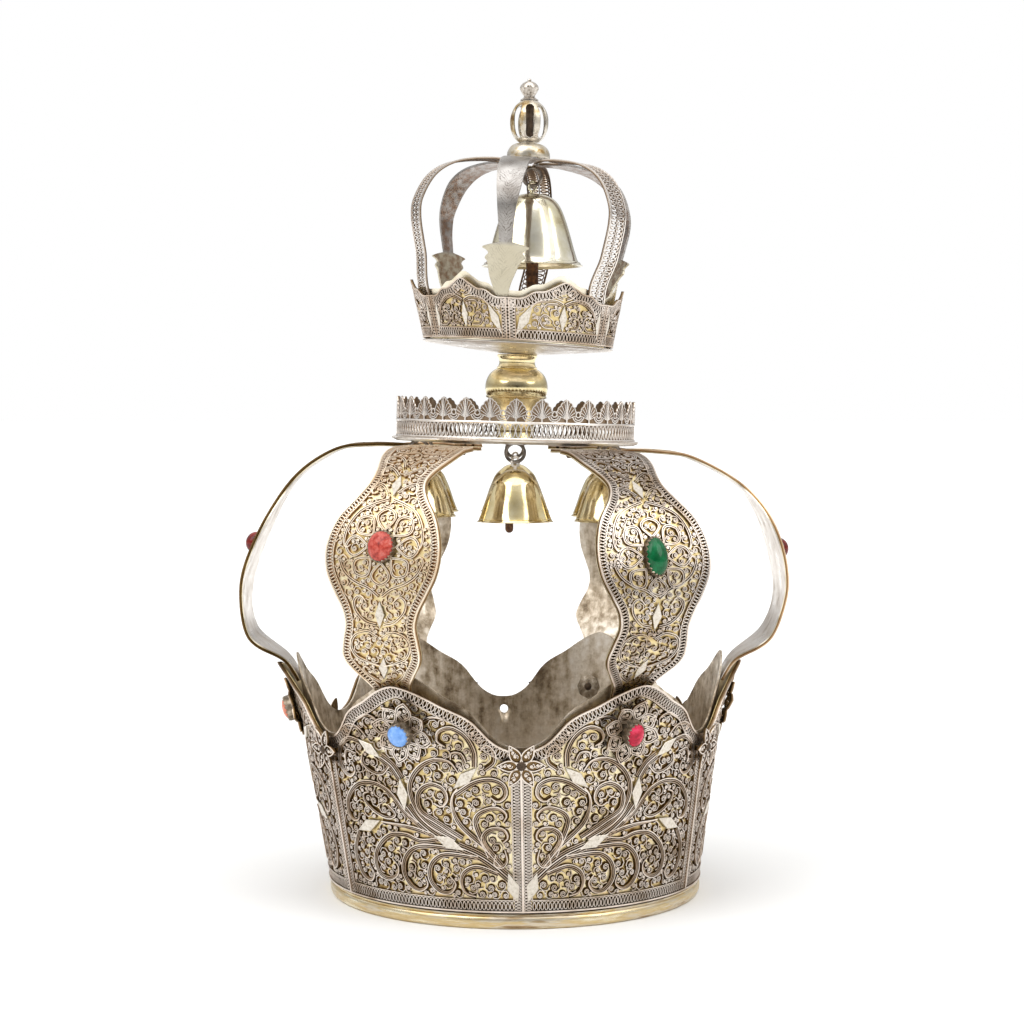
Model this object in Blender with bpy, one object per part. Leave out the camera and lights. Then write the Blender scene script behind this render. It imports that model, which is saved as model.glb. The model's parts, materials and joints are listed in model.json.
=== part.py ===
"""Torah crown of gilt and silver filigree, built up from its separate pieces.

A six-lobed coronet stands on a half-round ring. Six scalloped arches rise from
its lobes to a round platform with a pierced gallery, six bells hang under the
platform, and a vase-shaped stem on top carries a small crown with a large bell
and a slotted finial. Lengths are metres, +Z is up, and the origin is the centre
of the ring's flat underside. Azimuth 0 is the front, towards -Y, and azimuths
grow towards +X.
"""
import math

import bmesh
import bpy
from mathutils import Matrix, Vector

MM = 0.001
SIDES = 6
SIDE_ANGLE = math.tau / SIDES
GAP = 0.3 * MM

# Base ring and the coronet, whose wall leans outwards as a cone.
RING_RADIUS = 85.8 * MM
RING_HEIGHT = 7.0 * MM
RING_WIDTH = 5.2 * MM
RING_BULGE = 2.0 * MM
WALL_SLOPE = 0.152
WALL_LEAN = 0.022
CORONET_TURN = math.radians(2.4)
PANEL_RADIUS = 85.1 * MM
PANEL_THICKNESS = 2.4 * MM
PANEL_FOOT = RING_HEIGHT + GAP
PANEL_FLARE = 6.7 * MM
FLARE_START = 50.0 * MM
FIELD_DEPTH = 0.8 * MM
LINING_GAP = 0.8 * MM
LINING_THICKNESS = 0.8 * MM
VALLEY_HEIGHT = 78.5 * MM
PANEL_LOBE = 27.5 * MM
LINING_VALLEY = 79.6 * MM
LINING_LOBE = 30.7 * MM
# Rise of both scalloped edges, from 0 at a seam to 1 at the middle of a lobe.
LOBE_EDGE = (
    (0.0, 0.0), (0.1, 0.02), (0.2, 0.10), (0.27, 0.20), (0.34, 0.34), (0.4, 0.46), (0.48, 0.56),
    (0.56, 0.63), (0.65, 0.71), (0.78, 0.85), (0.88, 0.94), (0.95, 0.985), (1.0, 1.0),
)
# How much deeper both edges dip at each seam than at the front one.
SEAM_DROPS = (0.0, 0.0, 2.6 * MM, 2.6 * MM, 2.6 * MM, 0.0)

# Flower bolted over each seam of the coronet, and the stone in each lobe.
ROSETTE_HEIGHT = 72.7 * MM
ROSETTE_RADIUS = 10.4 * MM
ROSETTE_STANDOFF = 1.2 * MM
ROSETTE_THICKNESS = 1.0 * MM
# Button in the middle of the flower, as radius and height.
BUTTON_PROFILE = ((2.0, 1.8), (2.4, 0.5))
# The seam at the back has lost its flower, and shows the hole of its bolt.
BARE_SEAM = 3
BOLT_HOLE_RADIUS = 2.1 * MM
BOLT_HOLE_HEIGHT = 70.4 * MM
BOLT_HOLE_CUT = 16.0 * MM
SETTING_HEIGHT = 85.6 * MM
SETTING_RADIUS = 5.8 * MM
SETTING_RISE = 5.2 * MM
SETTING_FLOWER = 14.0 * MM
FLOWER_RISE = 2.4 * MM
SETTING_DROOP = math.radians(16.7)
# Half width, half height and rise of each stone, from the front left lobe on.
# The lobe at the right has lost its cup and stone, and keeps its flower.
CORONET_STONES = (
    (4.8, 4.9, 1.6), (3.9, 5.2, 1.4), None, (4.9, 4.9, 1.6), (4.4, 5.0, 1.5), (5.0, 5.2, 2.0),
)
# How many degrees each setting sits off the middle of its lobe.
SETTING_SHIFTS = (0.0, -1.5, 0.0, 0.0, 0.0, 0.0)

# Arches: the outer face as radius and height, from the bolted end under the
# platform down to the end between a panel and the lining.
ARCH_PATH = (
    (44.0, 205.7), (66.0, 205.8), (82.6, 202.9), (102.5, 189.7), (115.7, 169.0), (124.8, 141.5),
    (118.6, 119.0), (105.2, 107.2), (100.6, 101.0), (98.5, 97.0),
)
ARCH_LENGTH = 172.0
# Age has bent each arch: how far it stands out from that path at its 4th to 7th
# points, from the front left one on, and the azimuths of its two ends.
ARCH_BENDS = (
    (0.0, -3.0, -9.0, -7.2), (0.0, -2.3, -6.5, -5.2), (2.0, 2.6, -0.4, 1.4),
    (0.0, -1.8, -5.0, -4.0), (0.0, -2.5, -7.0, -5.6), (0.0, 0.2, 0.6, 2.2),
)
ARCH_ENDS = (
    (-29.5, -29.5), (30.5, 30.5), (90.5, 90.5), (149.2, 152.9), (210.5, 210.0), (270.5, 270.5),
)
# Half width at distances measured along the arch from its upper end.
ARCH_SCALLOPS = (
    (0, 8.0), (12, 8.4), (23, 16.6), (33, 18.6), (44, 18.3), (58, 14.4), (65, 14.2), (72, 17.4),
    (81, 23.8), (90, 27.4), (99, 28.6), (108, 27.2), (117, 23.0), (124, 19.3), (131, 17.7),
    (138, 18.9), (145, 19.7), (150, 18.2), (156, 14.2), (163, 9.9), (172, 8.4),
)
ARCH_THICKNESS = 1.8 * MM
ARCH_STATIONS = 21
ARCH_STONE_AT = (95.5, 99.4, 101.0, 98.0, 98.0, 96.6)
# Half width, half height and rise of the cabochon on each arch.
ARCH_STONES = (
    (6.1, 6.4, 3.6), (5.0, 8.0, 3.8), (4.8, 4.9, 4.4), (5.2, 6.4, 3.8), (5.0, 7.0, 3.8),
    (4.8, 4.9, 4.4),
)
BEZEL_WALL = 0.7 * MM
BEZEL_HEIGHT = 2.2 * MM
# Domed nut on the bolt at an arch's upper end, as radius and height.
NUT_AT = 6.0
NUT_PROFILE = ((4.2, 0.0), (4.0, -1.0), (2.5, -2.6))
# Heights between which an arch leaves the lean of the coronet, and takes up that
# of the platform.
FOOT_FREE = (107.3 * MM, 142.3 * MM)
TOP_HELD = (175.0 * MM, 205.0 * MM)

# Platform with its gallery. It leans a little, and so does all it carries.
PLATFORM_HEIGHT = 206.8 * MM
PLATFORM_LEAN = math.radians(1.5)
PLATFORM_RADIUS = 57.0 * MM
PLATFORM_THICKNESS = 2.0 * MM
GALLERY_RADIUS = 55.0 * MM
GALLERY_THICKNESS = 1.2 * MM
GALLERY_VALLEY = 14.8 * MM
GALLERY_TIP = 20.3 * MM
PALMETTES = 30

# Bells under the platform.
BELL_ORBIT = 50.0 * MM
BELL_DROP = 33.8 * MM
BELL_HEIGHT = 23.0 * MM
HANGER_RADIUS = 4.1 * MM
HANGER_WIRE = 0.8 * MM
# Radius and height of the outer face as shares of the mouth radius and height.
BELL_SHAPE = (
    (0.10, 1.0), (0.38, 0.90), (0.55, 0.78), (0.65, 0.64), (0.75, 0.46), (0.84, 0.26), (0.94, 0.09),
    (1.0, 0.0),
)
BELL_MOUTH = 16.8 * MM
BELL_WALL = 1.0 * MM
HOOK_SUNK = 1.0 * MM
HOOK_OVERLAP = 0.2 * MM
RING_DROP = 2.2 * MM
CLAPPER_RADIUS = 1.8 * MM
CLAPPER_SHOWS = 5.0 * MM
CLAPPER_CLEAR = 4.8 * MM
CLAPPER_SHIFT = -2.6 * MM

# Stem, as radius and height above the platform's top face.
STEM_PROFILE = (
    (9.0, 38.7), (9.4, 37.6), (8.3, 36.6), (8.2, 34.2), (9.2, 33.2), (9.2, 32.2), (11.6, 30.6),
    (13.7, 27.2), (14.4, 23.8), (13.9, 20.0), (13.2, 19.0), (11.6, 14.0), (9.4, 8.0), (8.5, 4.0),
    (9.2, 0.3),
)
STEM_HEIGHT = 38.7 * MM

# Small crown, in its own frame, which leans further than the platform does.
UPPER_LEAN = math.radians(1.7)
PLATE_RADIUS = 43.8 * MM
PLATE_MIDDLE = 9.0 * MM
PLATE_DISH = 3.4 * MM
PLATE_THICKNESS = 1.0 * MM
BAND_FOOT = 5.0 * MM
BAND_SLOPE = 0.21
BAND_THICKNESS = 1.3 * MM
BAND_VALLEY = 23.6 * MM
BAND_LOBE = 7.8 * MM
# Azimuths of the seams between the band's lobes, in degrees, and the shouldered
# rise of a lobe, from 0 at a seam to 1 at its middle.
BAND_SEAMS = (-56.5, -5.7, 58.0, 119.0, 181.0, 242.0)
BAND_EDGE = ((0.0, 0.0), (0.25, 0.02), (0.46, 0.37), (0.64, 0.45), (0.80, 0.71), (1.0, 1.0))
BAND_LEAN = 0.07
BAND_LINING_RISE = 3.0 * MM
BAND_LINING_GAP = 2.2 * MM
BAND_LINING_THICKNESS = 0.7 * MM
# The arches of the small crown, as degrees round it, from the front one on.
UPPER_ARCH_AZIMUTHS = (-9.0, 51.0, 116.0, 172.0, 225.0, 291.0)
UPPER_ARCH_PATH = (
    (5.0, 88.0), (20.0, 88.4), (36.0, 85.6), (46.5, 79.0), (52.6, 68.0), (53.4, 59.0),
    (50.8, 46.0), (47.5, 33.0), (45.5, 22.5),
)
UPPER_ARCH_THICKNESS = 1.1 * MM
UPPER_ARCH_STATIONS = 12
FILIGREE_HALF_WIDTH = 6.0 * MM
UPPER_ARCH_LENGTH = 102.5
CLOSEST_ARCHES = math.radians(53.0)
# Half width of the three solid arches, which narrow downwards to a maple leaf.
LEAF_ARCH_WIDTHS = (
    (0, 6.6), (15, 6.7), (31, 6.7), (42, 6.4), (52, 5.4), (61, 4.2), (70, 3.4), (77.5, 3.0),
    (79.8, 11.0), (82, 8.4), (85, 10.4), (87, 8.0), (92, 6.4), (97, 4.4), (102.5, 2.4),
)
UPPER_BELL_DROP = 46.0 * MM
UPPER_BELL_SHIFT = 2.0 * MM
UPPER_BELL_HEIGHT = 33.2 * MM
UPPER_BELL_MOUTH = 23.2 * MM
UPPER_BELL_SHAPE = (
    (0.10, 1.0), (0.37, 0.95), (0.565, 0.82), (0.655, 0.656), (0.741, 0.465), (0.815, 0.274),
    (0.93, 0.045), (1.0, 0.0),
)
# How far below the arches' outer face the ring of the large bell hangs.
UPPER_EYE_DROP = 1.6
UPPER_CLAPPER_RADIUS = 2.8 * MM
UPPER_CLAPPER_SHOWS = 11.5 * MM
UPPER_CLAPPER_CLEAR = 6.5 * MM
# Heights between which a small arch leaves the lean of the band.
BAND_FREE = (28.0 * MM, 44.0 * MM)

# Finial, as radius and height above the small crown's foot. Its dome lies on the
# arches, and the cage and bud on it stand more upright than the crown does.
DOME_PROFILE = (
    (4.4, 96.4), (6.6, 95.8), (8.6, 94.4), (9.7, 92.6), (9.9, 91.0), (9.8, 89.2),
)
FINIAL_HEIGHT = 96.8 * MM
FINIAL_LEAN = math.radians(-3.0)
# Cage, as radius and height above its foot. Its slots run from the second row
# to the last but one.
CAGE_PROFILE = (
    (4.6, 0.0), (5.9, 1.2), (8.2, 4.6), (8.9, 9.3), (8.4, 13.2), (6.2, 17.0), (4.1, 18.9),
)
CAGE_WALL = 0.9 * MM
CAGE_STRIPS = 8
CAGE_TURN = math.radians(25.0)
STRIP_SHARE = 0.43
ROD_RADIUS = 1.9 * MM
ROD_CLEAR = 0.5 * MM
# Bud, as radius and height above the cage.
BUD_PROFILE = (
    (0.8, 10.3), (1.0, 9.4), (2.7, 8.7), (4.0, 7.1), (4.5, 5.8), (3.9, 4.2), (2.8, 2.3), (3.0, 1.4),
    (4.1, 0.3),
)


def material(name, colour, roughness, metallic):
    """A Principled material with one plain colour."""
    made = bpy.data.materials.new(name)
    made.use_nodes = True
    shader = made.node_tree.nodes["Principled BSDF"]
    shader.inputs["Base Color"].default_value = (*colour, 1.0)
    shader.inputs["Roughness"].default_value = roughness
    shader.inputs["Metallic"].default_value = metallic
    made.diffuse_color = (*colour, 1.0)
    return made


def make_object(name, bm, surface, parent=None):
    """Turn a bmesh into an object whose round faces are shaded smooth."""
    bmesh.ops.recalc_face_normals(bm, faces=bm.faces)
    mesh = bpy.data.meshes.new(name)
    bm.to_mesh(mesh)
    bm.free()
    mesh.materials.append(surface)
    mesh.shade_smooth()
    mesh.set_sharp_from_angle(angle=math.radians(35))
    made = bpy.data.objects.new(name, mesh)
    bpy.context.scene.collection.objects.link(made)
    made.parent = parent
    return made


def make_frame(name, height, lean, parent=None):
    """An empty that leans to the right about its own origin."""
    made = bpy.data.objects.new(name, None)
    bpy.context.scene.collection.objects.link(made)
    made.parent = parent
    made.location.z = height
    made.rotation_euler.y = lean
    return made


def fuse(target, helper):
    """Join a helper shape to the target, and hide the helper."""
    helper.hide_render = True
    helper.display_type = "WIRE"
    helper.parent = target.parent
    union = target.modifiers.new(helper.name, "BOOLEAN")
    union.operation = "UNION"
    union.solver = "EXACT"
    union.object = helper


def turned(profile, steps):
    """Spin an open outline, whose ends close on the axis, about Z."""
    bm = bmesh.new()
    outline = [(0.0, profile[0][1]), *profile, (0.0, profile[-1][1])]
    verts = [bm.verts.new((radius, 0.0, height)) for radius, height in outline]
    edges = [bm.edges.new(pair) for pair in zip(verts, verts[1:])]
    spin_full_turn(bm, verts + edges, steps)
    return bm


def turned_ring(profile, steps):
    """Spin a closed section, which stays off the axis, about Z."""
    bm = bmesh.new()
    verts = [bm.verts.new((radius, 0.0, height)) for radius, height in profile]
    edges = [bm.edges.new(pair) for pair in zip(verts, verts[1:] + verts[:1])]
    spin_full_turn(bm, verts + edges, steps)
    return bm


def spin_full_turn(bm, geometry, steps):
    bmesh.ops.spin(
        bm, geom=geometry, axis=(0.0, 0.0, 1.0), cent=(0.0, 0.0, 0.0), angle=math.tau,
        steps=steps, use_merge=True,
    )
    bmesh.ops.remove_doubles(bm, verts=bm.verts, dist=0.001 * MM)


def slab(front, back, loop=False):
    """A closed solid between two grids of points, either open strips or full rings."""
    bm = bmesh.new()
    grids = [[[bm.verts.new(point) for point in row] for row in grid] for grid in (front, back)]
    rows, columns = len(front), len(front[0])
    steps = range(columns if loop else columns - 1)
    for grid in grids:
        for row in range(rows - 1):
            for column in steps:
                after = (column + 1) % columns
                bm.faces.new((grid[row][column], grid[row][after],
                              grid[row + 1][after], grid[row + 1][column]))
    ahead, behind = grids
    for row in (0, rows - 1):
        for column in steps:
            after = (column + 1) % columns
            bm.faces.new((ahead[row][column], ahead[row][after],
                          behind[row][after], behind[row][column]))
    for column in () if loop else (0, columns - 1):
        for row in range(rows - 1):
            bm.faces.new((ahead[row][column], ahead[row + 1][column],
                          behind[row + 1][column], behind[row][column]))
    return bm


def smooth_curve(points, shares):
    """Points at these shares of the length of a smooth curve through the given points."""
    points = [Vector(point) for point in points]
    ends = [2 * points[0] - points[1], *points, 2 * points[-1] - points[-2]]
    fine = []
    for before, here, there, beyond in zip(ends, ends[1:], ends[2:], ends[3:]):
        for share in (step / 16 for step in range(16)):
            fine.append(0.5 * (2 * here + (there - before) * share
                               + (2 * before - 5 * here + 4 * there - beyond) * share ** 2
                               + (3 * here - before - 3 * there + beyond) * share ** 3))
    fine.append(points[-1])
    lengths = [0.0]
    for here, there in zip(fine, fine[1:]):
        lengths.append(lengths[-1] + (there - here).length)
    found = []
    for share in shares:
        distance = share * lengths[-1]
        index = max(i for i, length in enumerate(lengths[:-1]) if length <= distance)
        part = (distance - lengths[index]) / (lengths[index + 1] - lengths[index])
        found.append(fine[index].lerp(fine[index + 1], part))
    return found


def even_shares(steps):
    return [step / steps for step in range(steps + 1)]


def read(table, position):
    """Read a table of (position, value) pairs along straight lines from one to the next."""
    for (start, low), (end, high) in zip(table, table[1:]):
        if position <= end:
            return low + (high - low) * (position - start) / (end - start)
    return table[-1][1]


def around(azimuth, radius, height):
    return Vector((radius * math.sin(azimuth), -radius * math.cos(azimuth), height))


def across(azimuth):
    """The horizontal direction to the right of someone facing this side."""
    return Vector((math.cos(azimuth), math.sin(azimuth), 0.0))


def on_wall(azimuth, radius, height):
    """A point of the coronet, which leans a little to the left as it rises."""
    return around(azimuth, radius, height) - Vector((WALL_LEAN * height, 0.0, 0.0))


def seam_angle(index):
    return CORONET_TURN + index * SIDE_ANGLE


def lobe_angle(index):
    """Middle of a lobe, counted from the front left one."""
    return CORONET_TURN + (index - 0.5) * SIDE_ANGLE


def edge_height(azimuth, valley, lobe):
    """Height of a scalloped edge of the coronet at this azimuth."""
    place = (azimuth - CORONET_TURN) / SIDE_ANGLE
    seam = round(place)
    rise = read(LOBE_EDGE, 2.0 * abs(place - seam))
    return valley + lobe - (lobe + SEAM_DROPS[seam % SIDES]) * (1.0 - rise)


def wall_radius(height):
    return PANEL_RADIUS + WALL_SLOPE * height


def panel_radius(height, off_centre):
    """The panel's outer face, which leaves the cone near the top of the lobe."""
    climb = max(0.0, height - FLARE_START) / (VALLEY_HEIGHT + PANEL_LOBE - FLARE_START)
    return wall_radius(height) + PANEL_FLARE * climb ** 6 * (1.0 - off_centre ** 2)


def bore_bolt_hole(targets):
    """Cut the empty bolt hole at the bare seam through the lining and both panels."""
    bore = bmesh.new()
    bmesh.ops.create_cone(bore, cap_ends=True, segments=8, radius1=BOLT_HOLE_RADIUS,
                          radius2=BOLT_HOLE_RADIUS, depth=BOLT_HOLE_CUT)
    cutter = make_object("bolt_hole", bore, targets[0].data.materials[0])
    cutter.matrix_world = seam_frame(BARE_SEAM, BOLT_HOLE_HEIGHT, 0.0)
    cutter.hide_render = True
    cutter.display_type = "WIRE"
    for target in targets:
        cut = target.modifiers.new("bolt_hole", "BOOLEAN")
        cut.operation = "DIFFERENCE"
        cut.solver = "EXACT"
        cut.object = cutter


def base_ring(surface):
    """Half-round ring with a flat underside, soldered round the foot of the coronet."""
    inner = RING_RADIUS - RING_WIDTH
    middle = RING_HEIGHT / 2
    section = [(inner, RING_HEIGHT), (inner, 0.0), (RING_RADIUS - RING_BULGE, 0.0)]
    for angle in (math.radians(-30), math.radians(30)):
        out = RING_RADIUS - RING_BULGE * (1.0 - math.cos(angle))
        section.append((out, middle * (1.0 + math.sin(angle))))
    section.append((RING_RADIUS - RING_BULGE, RING_HEIGHT))
    make_object("base_ring", turned_ring(section, 40), surface)


def coronet_lining(surface):
    """Plain inner wall with a lobed upper edge, standing inside the six panels."""
    columns = 60

    def wall(depth):
        rows = []
        for share in (0.0, 1.0):
            row = []
            for column in range(columns):
                azimuth = CORONET_TURN + math.tau * column / columns
                top = edge_height(azimuth, LINING_VALLEY, LINING_LOBE)
                height = PANEL_FOOT + (top - PANEL_FOOT) * share
                row.append(on_wall(azimuth, wall_radius(height) - depth, height))
            rows.append(row)
        return rows

    outside = PANEL_THICKNESS + LINING_GAP
    solid = slab(wall(outside), wall(outside + LINING_THICKNESS), True)
    return make_object("coronet_lining", solid, surface)


def panel_point(index, across_share, up_share, depth):
    """A point on one panel, from -1 to 1 across and 0 to 1 up, at a depth below its face."""
    azimuth = lobe_angle(index) + across_share * (SIDE_ANGLE / 2 - GAP / wall_radius(0.0))
    top = edge_height(azimuth, VALLEY_HEIGHT, PANEL_LOBE)
    height = PANEL_FOOT + (top - PANEL_FOOT) * up_share
    return on_wall(azimuth, panel_radius(height, across_share) - depth, height)


def setting_frame(index):
    """Frame of a lobe's stone: its own +Z points out of the panel."""
    azimuth = lobe_angle(index) + math.radians(SETTING_SHIFTS[index])
    middle = on_wall(azimuth, panel_radius(SETTING_HEIGHT, 0.0), SETTING_HEIGHT)
    return facing(middle, azimuth, SETTING_DROOP)


def seam_frame(index, height, standoff):
    """Frame at a height on a seam, this far out from the wall, +Z pointing out."""
    middle = on_wall(seam_angle(index), wall_radius(height) + standoff, height)
    return facing(middle, seam_angle(index), math.atan(WALL_SLOPE))


def facing(middle, azimuth, droop):
    """Frame whose +Z points outwards at this azimuth and down by the droop."""
    turn = Matrix.Rotation(azimuth, 4, "Z") @ Matrix.Rotation(math.pi / 2 + droop, 4, "X")
    return Matrix.Translation(middle) @ turn


def coronet_panels(surface, bare):
    """Six filigree panels with raised borders, each with the flower and cup of its setting."""
    steps_across = (-1.0, -0.88, -0.85, -0.6, -0.3, 0.0, 0.3, 0.6, 0.85, 0.88, 1.0)
    steps_up = (0.0, 0.05, 0.075, 0.5, 0.75, 0.90, 0.925, 1.0)
    panels = []
    for index in range(SIDES):
        face, back = [], []
        for up in steps_up:
            sunk = [FIELD_DEPTH if abs(a) < 0.87 and 0.06 < up < 0.91 else 0.0 for a in steps_across]
            face.append([panel_point(index, a, up, d) for a, d in zip(steps_across, sunk)])
            back.append([panel_point(index, a, up, PANEL_THICKNESS) for a in steps_across])
        name = f"coronet_panel_{index + 1}"
        panel = make_object(name, slab(face, back), surface)
        panels.append(panel)
        cup = [(SETTING_RADIUS, SETTING_RISE)] if CORONET_STONES[index] else []
        cup.append((SETTING_RADIUS, FLOWER_RISE / 2))
        cup.append((SETTING_FLOWER, FLOWER_RISE))
        cup.append((SETTING_FLOWER, FLOWER_RISE - FIELD_DEPTH))
        cup.append((SETTING_RADIUS, -1.2 * FIELD_DEPTH))
        helper = make_object(f"{name}_cup", turned(cup, 8), bare)
        helper.matrix_world = setting_frame(index)
        fuse(panel, helper)
    return panels


def cabochon(half_width, half_height, rise):
    """A domed stone with a flat back, lying on the plane of its own X and Y."""
    profile = [(0.55, 0.86), (0.87, 0.5), (1.0, 0.0)]
    bm = turned(profile, 9)
    for vert in bm.verts:
        if vert.co.x == 0.0 and vert.co.y == 0.0 and vert.co.z > 0.0:
            vert.co.z = 1.0
    scale = Matrix.Diagonal((half_width * MM, half_height * MM, rise * MM, 1.0))
    bmesh.ops.transform(bm, matrix=scale, verts=bm.verts)
    return bm


def coronet_stones(surfaces):
    """The stones that are left in the coronet's lobes."""
    for index, size in enumerate(CORONET_STONES):
        if size is None:
            continue
        stone = make_object(f"coronet_stone_{index + 1}", cabochon(*size), surfaces[index])
        stone.matrix_world = setting_frame(index) @ Matrix.Translation((0, 0, SETTING_RISE + GAP))


def coronet_rosettes(surface):
    """Six-petalled flower over each seam but one, just clear of the two panels that it joins."""
    for index in range(SIDES):
        if index == BARE_SEAM:
            continue
        bm = bmesh.new()
        rim = []
        for petal in range(SIDES):
            for turn, reach in ((-0.5, 0.36), (-0.2, 1.0), (0.2, 1.0)):
                angle = (petal + 0.5 + turn) * SIDE_ANGLE
                reach *= ROSETTE_RADIUS
                rim.append(bm.verts.new((reach * math.sin(angle), reach * math.cos(angle), 0.0)))
        face = bm.faces.new(rim)
        lifted = bmesh.ops.extrude_face_region(bm, geom=[face])["geom"]
        for item in lifted:
            if isinstance(item, bmesh.types.BMVert):
                item.co.z += ROSETTE_THICKNESS
        name = f"coronet_rosette_{index + 1}"
        flower = make_object(name, bm, surface)
        flower.matrix_world = seam_frame(index, ROSETTE_HEIGHT, ROSETTE_STANDOFF)
        profile = [(radius * MM, height * MM) for radius, height in BUTTON_PROFILE]
        button = make_object(f"{name}_button", turned(profile, 6), surface)
        button.matrix_world = flower.matrix_world.copy()
        fuse(flower, button)


def arch_azimuth(index, share):
    """Azimuth of the arch at this share of its length, which bends aside below its middle."""
    top, foot = ARCH_ENDS[index]
    return math.radians(top + (foot - top) * eased(share, 0.5, 0.85))


def arch_curve(index, shares):
    """The arch's outer face as radius and height at shares of its length from the upper end."""
    bends = (0.0, 0.0, 0.0, *ARCH_BENDS[index], 0.0, 0.0, 0.0)
    route = [(radius + bend, height, 0.0) for (radius, height), bend in zip(ARCH_PATH, bends)]
    return [point * MM for point in smooth_curve(route, shares)]


def eased(value, start, end):
    """Rise smoothly from 0 at the start to 1 at the end."""
    share = min(1.0, max(0.0, (value - start) / (end - start)))
    return share * share * (3.0 - 2.0 * share)


def with_lean(point):
    """Make an arch follow the leaning coronet at its foot and the leaning platform at its top."""
    foot = 1.0 - eased(point.z, *FOOT_FREE)
    top = eased(point.z, *TOP_HELD)
    return point - Vector((WALL_LEAN * point.z * foot, 0.0, point.x * math.tan(PLATFORM_LEAN) * top))


def outward(curve, station):
    """Unit normal of the curve's outer side, as radius and height."""
    ahead = curve[min(station + 1, len(curve) - 1)] - curve[max(station - 1, 0)]
    return Vector((-ahead.y, ahead.x, 0.0)).normalized()


def strap_grids(curve, azimuths, half_widths, thickness, bend=lambda point: point):
    """Outer and inner faces of a flat strap that follows a curve round the axis."""
    faces = []
    for depth in (0.0, thickness):
        rows = []
        for station, (azimuth, half_width) in enumerate(zip(azimuths, half_widths)):
            place = curve[station] - outward(curve, station) * depth
            middle = around(azimuth, place.x, place.y)
            rows.append([bend(middle + across(azimuth) * side * half_width) for side in (-1, 1)])
        faces.append(rows)
    return faces


def arches(surfaces, bare):
    """Six scalloped arches, each with a bezel for its stone and a domed nut at the top."""
    shares = even_shares(ARCH_STATIONS)
    widths = [read(ARCH_SCALLOPS, share * ARCH_LENGTH) * MM for share in shares]
    for index in range(SIDES):
        azimuths = [arch_azimuth(index, share) for share in shares]
        curve = arch_curve(index, shares)
        name = f"arch_{index + 1}"
        faces = strap_grids(curve, azimuths, widths, ARCH_THICKNESS, with_lean)
        arch = make_object(name, slab(*faces), surfaces[index])
        half_width, half_height, _ = ARCH_STONES[index]
        bezel = bmesh.new()
        bmesh.ops.create_cone(
            bezel, cap_ends=True, segments=10, radius1=1.0, radius2=1.0, depth=BEZEL_HEIGHT,
            matrix=Matrix.Diagonal((half_width * MM + BEZEL_WALL, half_height * MM + BEZEL_WALL, 1, 1)),
        )
        helper = make_object(f"{name}_bezel", bezel, bare)
        helper.matrix_world = arch_stone_frame(index)
        fuse(arch, helper)
        profile = [(radius * MM, height * MM) for radius, height in NUT_PROFILE]
        nut = make_object(f"{name}_nut", turned(profile, 8), bare)
        radius, height = ARCH_PATH[0]
        nut.location = with_lean(around(azimuths[0], (radius + NUT_AT) * MM,
                                        height * MM - ARCH_THICKNESS / 2))
        nut.rotation_euler.y = PLATFORM_LEAN
        fuse(arch, nut)


def arch_stone_frame(index):
    """Frame on the arch's outer face where its stone sits, +Z pointing out."""
    at = ARCH_STONE_AT[index]
    shares = [distance / ARCH_LENGTH for distance in (at + 1, at, at - 1)]
    below, place, above = arch_curve(index, shares)
    slope = math.atan2(above.x - below.x, above.y - below.y)
    azimuth = arch_azimuth(index, shares[1])
    return facing(with_lean(around(azimuth, place.x, place.y)), azimuth, slope)


def arch_stones(surfaces):
    """Cabochon in the middle of each arch."""
    for index, size in enumerate(ARCH_STONES):
        stone = make_object(f"arch_stone_{index + 1}", cabochon(*size), surfaces[index])
        lift = Matrix.Translation((0, 0, BEZEL_HEIGHT / 2 + GAP))
        stone.matrix_world = arch_stone_frame(index) @ lift


def platform(surface, frame):
    """Round plate that the arches are bolted to."""
    edge = [(PLATFORM_RADIUS, PLATFORM_THICKNESS), (PLATFORM_RADIUS, 0.0)]
    make_object("platform", turned(edge, 48), surface, frame)


def gallery(surface, frame):
    """Upright band on the platform, with a crest of palmettes."""
    crest = (GALLERY_VALLEY, GALLERY_TIP)
    columns = 2 * PALMETTES

    def wall(radius):
        rows = []
        for top in (False, True):
            row = []
            for column in range(columns):
                height = crest[column % 2] if top else PLATFORM_THICKNESS + GAP
                azimuth = math.tau * (column - 1) / columns
                row.append(around(azimuth, radius, height))
            rows.append(row)
        return rows

    solid = slab(wall(GALLERY_RADIUS), wall(GALLERY_RADIUS - GALLERY_THICKNESS), True)
    make_object("gallery", solid, surface, frame)


def stem(surface, frame):
    """Vase-shaped stem between the platform and the small crown."""
    profile = [(radius * MM, height * MM + PLATFORM_THICKNESS) for radius, height in STEM_PROFILE]
    make_object("stem", turned(profile, 14), surface, frame)


def bell_solid(shape, mouth, height, wall, steps):
    """Hollow bell, mouth down at height 0."""
    outer = [(radius * mouth, share * height) for radius, share in shape]
    inner = [(radius * mouth - wall, share * (height - wall)) for radius, share in shape[::-2]]
    return turned(outer + inner, steps)


def torus(radius, wire, steps):
    """Upright wire ring, its axis along Y."""
    section = []
    for step in range(3):
        angle = math.tau * step / 3
        section.append((radius + wire * math.cos(angle), wire * math.sin(angle)))
    bm = turned_ring(section, steps)
    bmesh.ops.rotate(bm, verts=bm.verts, cent=(0, 0, 0), matrix=Matrix.Rotation(math.pi / 2, 3, "X"))
    return bm


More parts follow.
